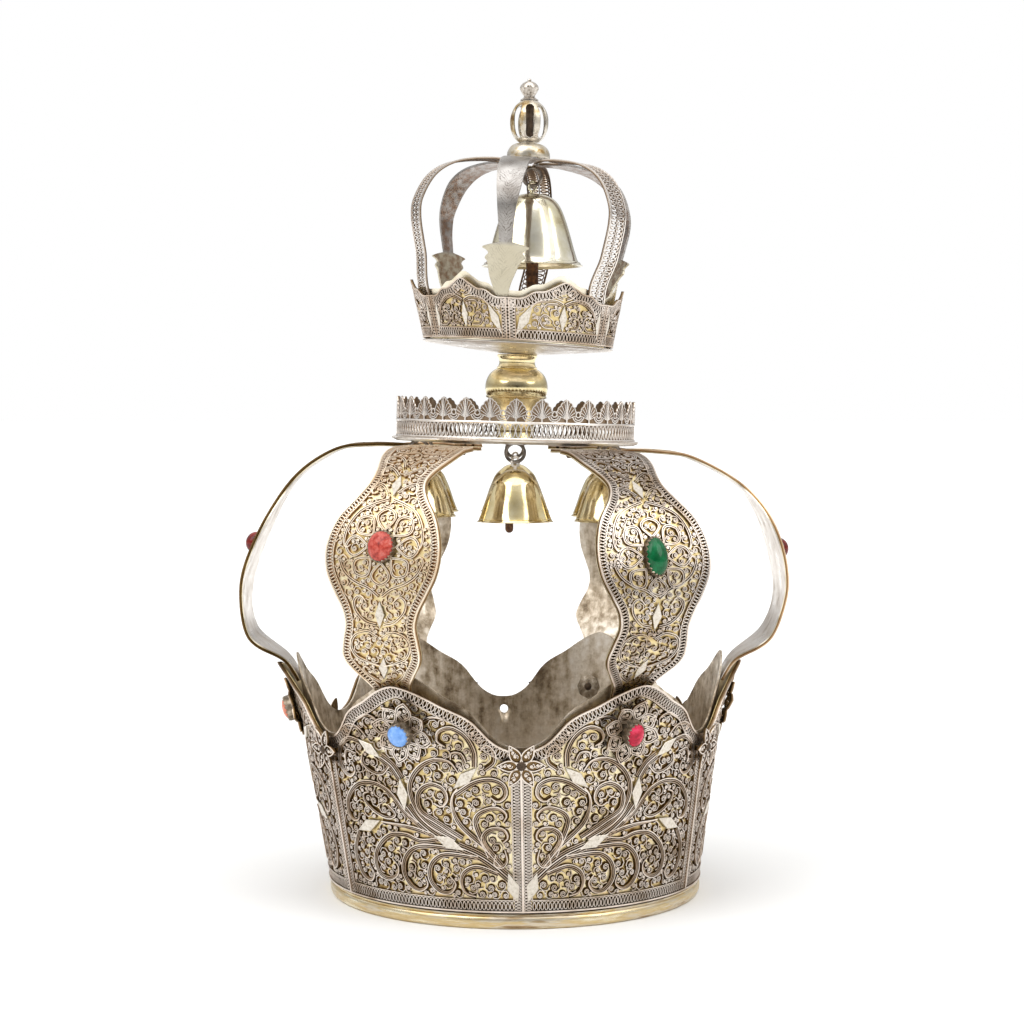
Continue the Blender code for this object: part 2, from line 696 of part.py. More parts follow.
def hang_bell(name, bell, place, height, reach, surface, bare):
    """Place a bell, and fuse the hook and ring that it hangs by."""
    hung = make_object(name, bell, surface)
    hung.location = place
    loop = make_object(f"{name}_ring", torus(HANGER_RADIUS, HANGER_WIRE, 8), bare)
    loop.location = place + Vector((0, 0, reach - HANGER_RADIUS - HANGER_WIRE))
    hook_length = reach - 2 * HANGER_RADIUS - height + HOOK_SUNK + HOOK_OVERLAP
    hook = bmesh.new()
    bmesh.ops.create_cone(hook, cap_ends=True, segments=6, radius1=HANGER_WIRE, radius2=HANGER_WIRE,
                          depth=hook_length)
    pin = make_object(f"{name}_hook", hook, bare)
    pin.location = place + Vector((0, 0, height - HOOK_SUNK + hook_length / 2))
    fuse(hung, pin)
    fuse(hung, loop)
    return hung


def clapper(name, place, top, bottom, radius, surface):
    """Round-ended rod that hangs inside a bell."""
    profile = [(radius * 0.6, top), (radius, top - radius), (radius, bottom + radius),
               (radius * 0.6, bottom)]
    made = make_object(name, turned(profile, 6), surface)
    made.location = place


def lower_bells(surface, bare, iron, frame_matrix):
    """Six bells hung plumb under the platform's rim."""
    for index in range(SIDES):
        eye = frame_matrix @ around(index * SIDE_ANGLE, BELL_ORBIT, 0.0)
        place = eye - Vector((0, 0, BELL_DROP))
        bell = bell_solid(BELL_SHAPE, BELL_MOUTH, BELL_HEIGHT, BELL_WALL, 10)
        hang_bell(f"bell_{index + 1}", bell, place, BELL_HEIGHT, BELL_DROP - RING_DROP, surface, bare)
        swung = place + Vector((CLAPPER_SHIFT, 0, 0))
        clapper(f"bell_clapper_{index + 1}", swung, BELL_HEIGHT - CLAPPER_CLEAR, -CLAPPER_SHOWS,
                CLAPPER_RADIUS, iron)


def upper_plate(surface, frame):
    """Dished plate under the small crown."""
    top = [(PLATE_MIDDLE, PLATE_THICKNESS), (PLATE_RADIUS, PLATE_DISH + PLATE_THICKNESS)]
    under = [(PLATE_RADIUS, PLATE_DISH), (PLATE_MIDDLE, 0.0)]
    make_object("upper_plate", turned(top + under, 30), surface, frame)


def band_columns():
    """Azimuth and share of the rise at each column of the small crown's lobed edges."""
    found = []
    for here, there in zip(BAND_SEAMS, (*BAND_SEAMS[1:], BAND_SEAMS[0] + 360.0)):
        half = (there - here) / 2
        found += [(math.radians(here + half * share), rise) for share, rise in BAND_EDGE]
        found += [(math.radians(there - half * share), rise) for share, rise in BAND_EDGE[-2:0:-1]]
    return found


def upper_walls(outer_surface, inner_surface, frame):
    """Outer filigree band and plain lining of the small crown, both with lobed edges."""

    def wall(depth, rise):
        rows = []
        for share in (0.0, 1.0):
            row = []
            for azimuth, lobe in band_columns():
                top = BAND_VALLEY + rise + BAND_LOBE * lobe
                height = BAND_FOOT + (top - BAND_FOOT) * share
                climb = height - BAND_FOOT
                point = around(azimuth, PLATE_RADIUS + BAND_SLOPE * climb - depth, height)
                row.append(point - Vector((BAND_LEAN * climb, 0.0, 0.0)))
            rows.append(row)
        return rows

    outer = slab(wall(0.0, 0.0), wall(BAND_THICKNESS, 0.0), True)
    make_object("upper_band", outer, outer_surface, frame)
    depth = BAND_THICKNESS + BAND_LINING_GAP
    rise = BAND_LINING_RISE
    inner = slab(wall(depth, rise), wall(depth + BAND_LINING_THICKNESS, rise), True)
    make_object("upper_lining", inner, inner_surface, frame)


def with_band_lean(point):
    """Make the lower end of a small arch follow the band, which leans to the left."""
    foot = 1.0 - eased(point.z, *BAND_FREE)
    return point - Vector((BAND_LEAN * (point.z - BAND_FOOT) * foot, 0.0, 0.0))


def upper_arches(surface, frame):
    """Three openwork straps and three solid ones, each ending in a leaf, by turns."""
    for index in range(SIDES):
        azimuth = math.radians(UPPER_ARCH_AZIMUTHS[index])
        if index % 2 == 0:
            shares = [distance / UPPER_ARCH_LENGTH for distance, _ in LEAF_ARCH_WIDTHS]
            widths = [half_width * MM for _, half_width in LEAF_ARCH_WIDTHS]
        else:
            shares = even_shares(UPPER_ARCH_STATIONS)
            widths = [FILIGREE_HALF_WIDTH] * len(shares)
        route = [(radius, height, 0.0) for radius, height in UPPER_ARCH_PATH]
        curve = [point * MM for point in smooth_curve(route, shares)]
        widths[0] = curve[0].x * math.tan(CLOSEST_ARCHES / 2) - GAP
        solid = slab(*strap_grids(curve, [azimuth] * len(widths), widths, UPPER_ARCH_THICKNESS,
                                  with_band_lean))
        make_object(f"upper_arch_{index + 1}", solid, surface, frame)


def upper_bell(surface, bare, iron, frame_matrix):
    """Large bell hung plumb from the top of the small crown."""
    eye = frame_matrix @ Vector((0.0, 0.0, (UPPER_ARCH_PATH[0][1] - UPPER_EYE_DROP) * MM))
    place = eye + Vector((UPPER_BELL_SHIFT, 0, -UPPER_BELL_DROP))
    bell = bell_solid(UPPER_BELL_SHAPE, UPPER_BELL_MOUTH, UPPER_BELL_HEIGHT, BELL_WALL, 14)
    hang_bell("upper_bell", bell, place, UPPER_BELL_HEIGHT, UPPER_BELL_DROP - GAP, surface, bare)
    clapper("upper_bell_clapper", place, UPPER_BELL_HEIGHT - UPPER_CLAPPER_CLEAR,
            -UPPER_CLAPPER_SHOWS, UPPER_CLAPPER_RADIUS, iron)


def finial(gilt, silver, iron, upper_frame):
    """Dome over the joined arches, slotted egg-shaped cage on it, and a bud on top."""
    dome = [(radius * MM, height * MM) for radius, height in DOME_PROFILE]
    make_object("finial_dome", turned(dome, 16), gilt, upper_frame)
    frame = make_frame("finial_frame", FINIAL_HEIGHT, FINIAL_LEAN, upper_frame)
    bm = bmesh.new()
    half = math.tau / CAGE_STRIPS * STRIP_SHARE / 2
    rings = []
    for radius, height in CAGE_PROFILE:
        rings.append([bm.verts.new(around(CAGE_TURN + math.tau * strip / CAGE_STRIPS + side * half,
                                          radius * MM, height * MM))
                      for strip in range(CAGE_STRIPS) for side in (-1, 1)])
    bm.faces.new(rings[0])
    bm.faces.new(rings[-1])
    count = 2 * CAGE_STRIPS
    slotted = range(1, len(rings) - 2)
    for row, (low, high) in enumerate(zip(rings, rings[1:])):
        for column in range(count):
            after = (column + 1) % count
            if column % 2 == 0 or row not in slotted:
                bm.faces.new((low[column], low[after], high[after], high[column]))
    cage = make_object("finial_cage", bm, gilt, frame)
    wall = cage.modifiers.new("wall", "SOLIDIFY")
    wall.thickness = CAGE_WALL
    wall.offset = -1.0
    cage_height = CAGE_PROFILE[-1][1] * MM
    rod_profile = [(ROD_RADIUS, cage_height - ROD_CLEAR), (ROD_RADIUS, ROD_CLEAR)]
    rod = make_object("finial_rod", turned(rod_profile, 8), iron)
    fuse(cage, rod)
    bud = [(radius * MM, cage_height + height * MM) for radius, height in BUD_PROFILE]
    make_object("finial_bud", turned(bud, 10), silver, frame)


def build():
    for item in list(bpy.data.objects):
        bpy.data.objects.remove(item)
    gilt = material("pale_gilt", (0.72, 0.60, 0.33), 0.3, 1.0)
    bright_gilt = material("polished_gilt", (0.80, 0.62, 0.26), 0.2, 1.0)
    filigree = material("tarnished_filigree", (0.42, 0.38, 0.32), 0.45, 1.0)
    silver = material("worn_silver", (0.62, 0.60, 0.56), 0.35, 1.0)
    iron = material("brown_iron", (0.16, 0.10, 0.06), 0.7, 0.6)
    blue = material("blue_stone", (0.20, 0.38, 0.78), 0.2, 0.0)
    pink = material("rose_glass", (0.72, 0.06, 0.12), 0.1, 0.0)
    coral = material("coral", (0.78, 0.25, 0.16), 0.3, 0.0)
    green = material("green_stone", (0.0, 0.22, 0.10), 0.12, 0.0)
    dark_red = material("dark_red_stone", (0.20, 0.03, 0.02), 0.2, 0.0)

    base_ring(gilt)
    lining = coronet_lining(silver)
    panels = coronet_panels(filigree, gilt)
    bore_bolt_hole((lining, panels[BARE_SEAM], panels[BARE_SEAM + 1]))
    coronet_stones((blue, pink, None, green, dark_red, coral))
    coronet_rosettes(silver)
    arches((gilt, filigree, filigree, filigree, gilt, filigree), gilt)
    arch_stones((coral, green, dark_red, blue, coral, dark_red))
    platform_frame = make_frame("platform_frame", PLATFORM_HEIGHT, PLATFORM_LEAN)
    platform(silver, platform_frame)
    gallery(silver, platform_frame)
    stem(bright_gilt, platform_frame)
    upper_height = PLATFORM_THICKNESS + STEM_HEIGHT + GAP
    upper_frame = make_frame("upper_frame", upper_height, UPPER_LEAN, platform_frame)
    bpy.context.view_layer.update()
    lower_bells(bright_gilt, gilt, iron, platform_frame.matrix_world)
    upper_plate(silver, upper_frame)
    upper_walls(filigree, gilt, upper_frame)
    upper_arches(silver, upper_frame)
    upper_bell(gilt, silver, iron, upper_frame.matrix_world)
    finial(bright_gilt, silver, iron, upper_frame)


build()
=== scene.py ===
"""Torah crown of gilt sheet, silver filigree and polished gilt bells, dressed over its CAD frame.

The script follows the crown from its base ring up to the bud of the finial.
Lengths are metres, +Z is up and the front looks towards -Y. Ornament is laid
out flat in millimetres and is then bent on to the surface that it is soldered to.
"""
import json
import math
import random

import bmesh
import bpy
import numpy as np
from mathutils import Matrix, Vector
from mathutils.kdtree import KDTree

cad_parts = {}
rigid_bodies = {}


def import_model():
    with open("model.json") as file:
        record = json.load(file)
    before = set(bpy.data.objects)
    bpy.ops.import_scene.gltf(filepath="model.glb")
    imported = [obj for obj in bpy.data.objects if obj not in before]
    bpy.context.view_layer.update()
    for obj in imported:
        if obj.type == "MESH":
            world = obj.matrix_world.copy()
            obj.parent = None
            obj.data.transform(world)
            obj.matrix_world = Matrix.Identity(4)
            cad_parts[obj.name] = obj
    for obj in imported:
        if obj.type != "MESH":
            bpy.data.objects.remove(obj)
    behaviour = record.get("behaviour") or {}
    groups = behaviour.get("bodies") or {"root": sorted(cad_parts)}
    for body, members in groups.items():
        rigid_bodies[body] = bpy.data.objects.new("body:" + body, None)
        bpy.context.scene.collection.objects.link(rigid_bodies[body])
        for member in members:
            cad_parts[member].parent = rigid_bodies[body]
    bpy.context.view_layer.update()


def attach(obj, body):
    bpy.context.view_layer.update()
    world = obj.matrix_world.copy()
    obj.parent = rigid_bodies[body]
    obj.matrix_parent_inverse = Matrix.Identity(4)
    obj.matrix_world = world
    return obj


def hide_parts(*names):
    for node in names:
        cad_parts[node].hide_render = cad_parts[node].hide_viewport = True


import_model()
MM = 0.001

# ---------------------------------------------------------------------------
# Studio: a pale floor under a white tent with two broad soft boxes, and the
# camera a metre in front of the crown, a little above its middle.


def linear(code):
    """Linear RGBA of an sRGB hex colour."""
    channels = [int(code[start:start + 2], 16) / 255 for start in (1, 3, 5)]
    return (*((c / 12.92 if c <= 0.04045 else ((c + 0.055) / 1.055) ** 2.4) for c in channels), 1.0)


def add_node(tree, kind, links=None, values=None, stops=None, **settings):
    """Add a shader node with its properties, its linked and fixed inputs, and a ramp's stops."""
    node = tree.nodes.new(kind)
    for name, value in settings.items():
        setattr(node, name, value)
    for key, value in (values or {}).items():
        node.inputs[key].default_value = linear(value) if isinstance(value, str) else value
    for key, source in (links or {}).items():
        tree.links.new(source, node.inputs[key])
    for count, (position, value) in enumerate(stops or ()):
        elements = node.color_ramp.elements
        stop = elements[count] if count < 2 else elements.new(position)
        stop.position = position
        stop.color = linear(value) if isinstance(value, str) else (value, value, value, 1.0)
    return node


def start_material(name, colour, roughness, metallic):
    """A Principled material, its node tree and its shader."""
    made = bpy.data.materials.new(name)
    made.use_nodes = True
    made.diffuse_color = linear(colour)
    shader = made.node_tree.nodes["Principled BSDF"]
    shader.inputs["Base Color"].default_value = linear(colour)
    shader.inputs["Roughness"].default_value = roughness
    shader.inputs["Metallic"].default_value = metallic
    return made, made.node_tree, shader


# Matt white seamless paper, whose faint mottle keeps it from looking drawn.
paper, tree, shader = start_material("white_backdrop_paper", "#F4F4F3", 0.9, 0.0)
mottle = add_node(tree, "ShaderNodeTexNoise", values={"Scale": 3.0, "Detail": 2.0})
add_node(tree, "ShaderNodeValToRGB", {"Fac": mottle.outputs["Fac"]},
         stops=((0.3, "#F1F1F0"), (0.7, "#F6F6F5")))
tree.links.new(tree.nodes["Color Ramp"].outputs["Color"], shader.inputs["Base Color"])
floor_bm = bmesh.new()
bmesh.ops.create_grid(floor_bm, x_segments=1, y_segments=1, size=40.0)
floor_mesh = bpy.data.meshes.new("floor")
floor_bm.to_mesh(floor_mesh)
floor_bm.free()
floor_mesh.materials.append(paper)
floor = bpy.data.objects.new("floor", floor_mesh)
bpy.context.scene.collection.objects.link(floor)

# White tent, with a grey band round its foot and a dark gap on the camera's side
# that give polished metal something to reflect.
world = bpy.data.worlds.new("white_tent")
world.use_nodes = True
tree = world.node_tree
tree.nodes.clear()
direction = add_node(tree, "ShaderNodeTexCoord")
parts = add_node(tree, "ShaderNodeSeparateXYZ", {"Vector": direction.outputs["Generated"]})
climb = add_node(tree, "ShaderNodeValToRGB", {"Fac": parts.outputs["Z"]},
                 stops=((0.0, 0.55), (1.0, 1.0), (0.12, 0.42), (0.45, 0.85)))
facing_back = add_node(tree, "ShaderNodeMath", {0: parts.outputs["Y"]}, {1: -1.0},
                       operation="MULTIPLY")
gap = add_node(tree, "ShaderNodeValToRGB", {"Fac": facing_back.outputs[0]},
               stops=((0.0, 1.0), (1.0, 0.04), (0.62, 1.0), (0.86, 0.42), (0.97, 0.34)))
tent_light = add_node(tree, "ShaderNodeMath", {0: climb.outputs["Color"], 1: gap.outputs["Color"]},
                      operation="MULTIPLY")
tent = add_node(tree, "ShaderNodeBackground", {"Strength": tent_light.outputs[0]}, {"Color": "#FFFFFF"})
backdrop = add_node(tree, "ShaderNodeBackground", values={"Color": "#FFFFFF", "Strength": 1.0})
seen = add_node(tree, "ShaderNodeLightPath")
lit = add_node(tree, "ShaderNodeMixShader", {0: seen.outputs["Is Camera Ray"],
                                             1: tent.outputs[0], 2: backdrop.outputs[0]})
add_node(tree, "ShaderNodeOutputWorld", {"Surface": lit.outputs[0]})
bpy.context.scene.world = world
bpy.context.scene.view_settings.view_transform = "Standard"


def soft_light(name, azimuth, elevation, spread, strength):
    """A broad distant light, as wide as a soft box looks from the crown. Angles are degrees."""
    lamp = bpy.data.lights.new(name, "SUN")
    lamp.angle = math.radians(spread)
    lamp.energy = strength
    holder = bpy.data.objects.new(name, lamp)
    holder.rotation_euler = (math.radians(90.0 - elevation), 0.0, math.radians(azimuth))
    bpy.context.scene.collection.objects.link(holder)


soft_light("left_box", -52.0, 42.0, 42.0, 1.0)
soft_light("right_box", 60.0, 36.0, 40.0, 0.8)
soft_light("top_box", 0.0, 80.0, 60.0, 1.0)

CAMERA_LENS = 77.0              # mm, over a sensor 36 mm wide
CAMERA_PLACE = (-0.0014, -1.012, 0.222)
CAMERA_FALL = math.radians(2.667)       # how far it looks down
camera_data = bpy.data.cameras.new("camera")
camera_data.lens = CAMERA_LENS
camera_data.sensor_width = 36.0
camera = bpy.data.objects.new("camera", camera_data)
camera.location = CAMERA_PLACE
camera.rotation_euler = (math.pi / 2 - CAMERA_FALL, 0.0, 0.0)
bpy.context.scene.collection.objects.link(camera)
bpy.context.scene.camera = camera

# ---------------------------------------------------------------------------
# Base ring: a half-round ring of gilt silver, turned and soldered under the
# coronet. The gilding is worn through along its crown and at old knocks.
RING_RADIUS = 85.8
RING_HEIGHT = 7.0
RING_WIDTH = 5.2
CREASE = math.radians(35.0)     # edges that bend more than this stay sharp


def new_piece(name, mesh, surface):
    """Turn a mesh, or a bmesh that this frees, into a shaded object of one material."""
    if isinstance(mesh, bmesh.types.BMesh):
        made = bpy.data.meshes.new(name)
        mesh.to_mesh(made)
        mesh.free()
        mesh = made
    mesh.name = name
    mesh.materials.clear()
    mesh.materials.append(surface)
    mesh.shade_smooth()
    mesh.set_sharp_from_angle(angle=CREASE)
    piece = bpy.data.objects.new(name, mesh)
    bpy.context.scene.collection.objects.link(piece)
    return piece


def fit(name, mesh, surface, node=None, at=None):
    """Make a piece of a mesh, or of a bmesh in the frame given, that may stand for a solid."""
    if at is not None:
        bmesh.ops.transform(mesh, verts=mesh.verts, matrix=at)
    piece = new_piece(name, mesh, surface)
    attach(piece, "root")
    if node:
        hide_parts(node)
    return piece


def turned(profile, steps, closed=False):
    """Spin a line of (radius, height) in mm about Z, closed for a ring and open for a solid."""
    bm = bmesh.new()
    line = list(profile) if closed else [(0.0, profile[0][1]), *profile, (0.0, profile[-1][1])]
    verts = [bm.verts.new((radius * MM, 0.0, height * MM)) for radius, height in line]
    edges = [bm.edges.new(pair) for pair in zip(verts, verts[1:])]
    if closed:
        edges.append(bm.edges.new((verts[-1], verts[0])))
    bmesh.ops.spin(bm, geom=verts + edges, axis=(0, 0, 1), cent=(0, 0, 0), angle=math.tau,
                   steps=steps, use_merge=True)
    bmesh.ops.remove_doubles(bm, verts=bm.verts, dist=0.001 * MM)
    bmesh.ops.recalc_face_normals(bm, faces=bm.faces)
    return bm


def rounded(profile, spacing):
    """Points this far apart in mm along a smooth curve through the given points, as an array."""
    given = np.array(profile, float)
    ends = np.vstack((2 * given[0] - given[1], given, 2 * given[-1] - given[-2]))
    share = np.linspace(0.0, 1.0, 16, endpoint=False)[:, None]
    fine = [0.5 * (2 * here + (there - before) * share
                   + (2 * before - 5 * here + 4 * there - beyond) * share ** 2
                   + (3 * here - before - 3 * there + beyond) * share ** 3)
            for before, here, there, beyond in zip(ends, ends[1:], ends[2:], ends[3:])]
    fine = np.vstack((*fine, given[-1:]))
    lengths = np.concatenate(([0.0], np.cumsum(np.linalg.norm(np.diff(fine, axis=0), axis=1))))
    at = np.linspace(0.0, lengths[-1], max(2, round(lengths[-1] / spacing) + 1))
    return np.column_stack([np.interp(at, lengths, column) for column in fine.T])


def clouded(name, colour, roughness, mottle, stops, metallic=1.0, detail=4.0, grain=0.6,
            matt=None, dents=None):
    """A material whose colour drifts in clouds this many mm across, or of three sizes along X, Y and Z.

    The colours run from the clean metal to the dirt, matt is the roughness of each,
    and dents are the strength and the depth in mm of the dents that follow the clouds.
    """
    made, tree, shader = start_material(name, colour, roughness, metallic)
    sizes = mottle if isinstance(mottle, tuple) else (mottle, mottle, mottle)
    place = add_node(tree, "ShaderNodeTexCoord")
    sized = add_node(tree, "ShaderNodeMapping", {"Vector": place.outputs["Object"]},
                     {"Scale": [1000.0 / size for size in sizes]})
    clouds = add_node(tree, "ShaderNodeTexNoise", {"Vector": sized.outputs["Vector"]},
                      {"Scale": 1.0, "Detail": detail, "Roughness": grain})
    tones = add_node(tree, "ShaderNodeValToRGB", {"Fac": clouds.outputs["Fac"]}, stops=stops)
    tree.links.new(tones.outputs["Color"], shader.inputs["Base Color"])
    if matt:
        film = add_node(tree, "ShaderNodeMapRange", {"Value": clouds.outputs["Fac"]},
                        {"From Min": 0.32, "From Max": 0.7, "To Min": matt[0], "To Max": matt[1]})
        tree.links.new(film.outputs[0], shader.inputs["Roughness"])
    if dents:
        bump = add_node(tree, "ShaderNodeBump", {"Height": clouds.outputs["Fac"]},
                        {"Strength": dents[0], "Distance": dents[1] * MM})
        tree.links.new(bump.outputs[0], shader.inputs["Normal"])
    return made


# Fire gilding over turned silver: warm pale gold that has rubbed through to
# grey-white silver in long level streaks, with brown dirt in the knocks.
ring_gilt = clouded("worn_ring_gilt", "#D8C48C", 0.3, (26.0, 26.0, 2.2),
                    ((0.32, "#EFE6CC"), (0.76, "#5E4832"), (0.47, "#D2BA88"), (0.56, "#DCD2BE"),
                     (0.64, "#B49C78")),
                    detail=6.0, matt=(0.22, 0.5), dents=(0.25, 0.4))

# Distance in from the ring's outside, and height, of each point of its section.
RING_SECTION = (
    (RING_WIDTH, RING_HEIGHT - 0.1), (RING_WIDTH, 0.1), (3.0, 0.0), (1.6, 0.0), (0.8, 0.7), (0.25, 2.0),
    (0.1, 3.4), (0.3, 4.7), (0.7, 5.4), (1.1, 5.6), (0.8, 5.9), (0.9, 6.5), (1.5, 6.9),
    (2.6, RING_HEIGHT - 0.05),
)
ring_line = [(RING_RADIUS - depth, height) for depth, height in RING_SECTION]
fit("base_ring_turned", turned(ring_line, 160, True), ring_gilt, "base_ring")

# ---------------------------------------------------------------------------
# Coronet panels: six lobed panels of filigree, flattened silver wire set on edge
# and soldered to gilt sheet. A stem rises from every second seam, mirrored left and
# right of it, and its scrolls are packed with tight snails of wire.
SIDES = 6
SIDE_ANGLE = math.tau / SIDES
CORONET_TURN = math.radians(2.4)
WALL_SLOPE = 0.152
WALL_LEAN = 0.022
PANEL_RADIUS = 85.1
PANEL_FOOT = 7.3
PANEL_DEPTH = 2.35          # from the outermost rim back to the rear of the gilt sheet
PANEL_HALF = 48.6           # half width of a panel laid flat
VALLEY_HEIGHT = 78.5
PANEL_LOBE = 27.5
PANEL_FLARE = 6.7
FLARE_START = 50.0
SEAM_GAP = 0.05
SHEET = 0.4
FIELD_WIRE = 0.46
FINE_WIRE = 0.42
EDGE_WIRE = 0.45
RIM_WIRE = 1.0
SHADE_AND_DIRT_RISE = 0.12                 # thickness of the low dark strips between wires, which paint the shade there together with dirt and solder
SNAIL_TOP = 1.6
SCROLL_TOP = 2.0
RIM_TOP = 2.3
# Rise of the scalloped edge, from 0 at a seam to 1 at the middle of a lobe.
LOBE_EDGE = (
    (0.0, 0.0), (0.1, 0.02), (0.2, 0.10), (0.27, 0.20), (0.34, 0.34), (0.4, 0.46), (0.48, 0.56),
    (0.56, 0.63), (0.65, 0.71), (0.78, 0.85), (0.88, 0.94), (0.95, 0.985), (1.0, 1.0),
)
SEAM_DROPS = (0.0, 0.0, 2.6, 2.6, 2.6, 0.0)     # the back of the edge is cut deeper


def scalloped(edge):
    """Fine rows of share and rise along a scalloped edge, smooth over the middle of the lobe."""
    return rounded([*edge, *((2.0 - share, rise) for share, rise in edge[-2::-1])], 0.01).T


lobe_edge = scalloped(LOBE_EDGE)


def panel_top(u, drops):
    """Height of a panel's upper edge, laid flat, at this distance from its middle."""
    drop = np.where(np.asarray(u) < 0.0, *drops)
    rise = np.interp(np.clip(1.0 - np.abs(u) / PANEL_HALF, 0.0, 1.0), *lobe_edge)
    return VALLEY_HEIGHT + PANEL_LOBE - PANEL_FOOT - (PANEL_LOBE + drop) * (1.0 - rise)


def lobe_angle(index):
    return CORONET_TURN + (index - 0.5) * SIDE_ANGLE


def leaning(azimuth, height, radius):
    """A point this far from the coronet's leaning middle line, in mm."""
    return radius * np.sin(azimuth) - WALL_LEAN * height, -radius * np.cos(azimuth), height


def on_panel(index):
    """Where flat ornament lands on one panel, from its middle, foot and the rear of its sheet."""
    def place(u, v, h):
        off = np.clip(u / PANEL_HALF, -1.0, 1.0)
        azimuth = lobe_angle(index) + u / PANEL_HALF * (SIDE_ANGLE / 2 - SEAM_GAP / PANEL_RADIUS)
        height = PANEL_FOOT + v
        climb = np.maximum(0.0, height - FLARE_START) / (VALLEY_HEIGHT + PANEL_LOBE - FLARE_START)
        radius = (PANEL_RADIUS + WALL_SLOPE * height + PANEL_FLARE * climb ** 6 * (1.0 - off ** 2)
                  - PANEL_DEPTH + h)
        return leaning(azimuth, height, radius)
    return place


def bend(mesh, place):
    """Carry a flat mesh in mm on to the surface that place() describes, in metres."""
    flat = np.empty(len(mesh.vertices) * 3)
    mesh.vertices.foreach_get("co", flat)
    flat = flat.reshape(-1, 3)
    bent = np.column_stack(place(*flat.T)) * MM
    mesh.vertices.foreach_set("co", bent.ravel())
    mesh.update()
    return mesh


def mesh_of(curve):
    """The mesh of a curve, whose wires have their section by then."""
    holder = bpy.data.objects.new("wires", curve)
    bpy.context.scene.collection.objects.link(holder)
    graph = bpy.context.evaluated_depsgraph_get()
    mesh = bpy.data.meshes.new_from_object(holder.evaluated_get(graph))
    bpy.data.objects.remove(holder)
    return mesh


def lay_wires(wires, width, top, foot, wear_and_light):
    """Flat wires set on edge along flat paths, as a mesh in mm that keeps its lift, from 0 at the foot
    up to the given top value; the wire materials paint a low lift as shade and dirt and a high lift as
    lit, rubbed metal.
    """
    section = bpy.data.curves.new("wire_section", "CURVE")
    corners = ((-0.5, foot), (-0.36, top), (0.36, top), (0.5, foot))
    line = section.splines.new("POLY")
    line.points.add(len(corners) - 1)
    for point, (side, height) in zip(line.points, corners):
        point.co = (side * width, height, 0.0, 1.0)
    line.use_cyclic_u = True
    section_holder = bpy.data.objects.new("wire_section", section)
    curve = bpy.data.curves.new("wires", "CURVE")
    curve.dimensions = "3D"
    curve.twist_mode = "Z_UP"
    curve.bevel_mode = "OBJECT"
    curve.bevel_object = section_holder
    curve.use_fill_caps = True
    for wire in wires:
        line = curve.splines.new("POLY")
        line.points.add(len(wire) - 1)
        line.points.foreach_set("co", np.column_stack(
            (wire, np.zeros(len(wire)), np.ones(len(wire)))).ravel())
    mesh = mesh_of(curve)
    bpy.data.objects.remove(section_holder)
    heights = np.empty(len(mesh.vertices) * 3)
    mesh.vertices.foreach_get("co", heights)
    lift = (heights[2::3] - foot) / (top - foot) * wear_and_light
    mesh.attributes.new("lift", "FLOAT", "POINT").data.foreach_set("value", lift)
    return mesh


def joined(meshes):
    """One mesh of several, with the ends of their wires closed."""
    bm = bmesh.new()
    for mesh in meshes:
        bm.from_mesh(mesh)
        bpy.data.meshes.remove(mesh)
    bmesh.ops.remove_doubles(bm, verts=bm.verts, dist=0.0005)
    made = bpy.data.meshes.new("joined")
    bm.to_mesh(made)
    bm.free()
    return made


def wirework(*rows, extra=()):
    """Wires of several kinds as one mesh. A row is wires, width, top, foot, top lift (painted light,
    shade and wear), and a mirror.
    """
    meshes = []
    for wires, width, top, foot, wear_and_light, *mirror in rows:
        meshes.append(lay_wires([wire * mirror[0] for wire in wires] if mirror else wires,
                                width, top, foot, wear_and_light))
    return joined([*meshes, *extra])


def side_steps(path):
    """Unit vectors to the left of a flat path, and the distance along it, at each point."""
    ahead = np.gradient(path, axis=0)
    lengths = np.linalg.norm(ahead, axis=1)
    left = np.column_stack((-ahead[:, 1], ahead[:, 0])) / lengths[:, None]
    steps = np.linalg.norm(np.diff(path, axis=0), axis=1)
    return left, np.concatenate(([0.0], np.cumsum(steps)))


def beside(path, offset, taper=0.0):
    """The path shifted to its left, drawing in over the last stretch if it tapers."""
    left, along = side_steps(path)
    reach = np.clip((along[-1] - along) / taper, 0.12, 1.0) if taper else np.ones(len(path))
    return path + left * (offset * reach)[:, None]


def inner_side(path):
    """1 if the path curls to its left, and -1 if it curls to its right."""
    ahead = np.diff(path, axis=0)
    turn = ahead[:-1, 0] * ahead[1:, 1] - ahead[:-1, 1] * ahead[1:, 0]
    return 1.0 if turn.sum() > 0 else -1.0


def swung(path, pitch, steps, lean):
    """Points of a wave along a path, the vectors to its left there, and how far each has turned."""
    left, along = side_steps(path)
    turns = max(2, round(along[-1] / pitch))
    angle = np.linspace(0.0, turns * math.tau, turns * steps + 1)
    at = np.clip(angle / angle[-1] * along[-1] + lean * pitch * np.sin(angle), 0.0, along[-1])
    middle, sideways = (np.column_stack([np.interp(at, along, line[:, axis]) for axis in (0, 1)])
                        for line in (path, left))
    return middle, sideways, angle[:, None]


def coil_border(path, pitch, reach, lean):
    """A flattened coil of wire along a path, as overlapping upright loops."""
    middle, sideways, angle = swung(path, pitch, 9, lean)
    return middle + sideways * (reach * np.cos(angle))


def snail(u, v, radius, turn, hand):
    """A loose arc of wire that runs into a tight coil lying against one side of it."""
    arc = np.linspace(-0.58, 0.0, 5)[:-1]
    coil = np.linspace(0.0, 1.7, 12)
    outer = turn + hand * math.tau * arc
    inner = turn + hand * math.tau * coil
    tight = 0.66 - 0.5 * (coil / 1.7) ** 0.85
    x = np.concatenate((np.cos(outer), 0.34 * math.cos(turn) + tight * np.cos(inner)))
    y = np.concatenate((np.sin(outer), 0.34 * math.sin(turn) + tight * np.sin(inner)))
    return np.column_stack((u + radius * x, v + radius * y))


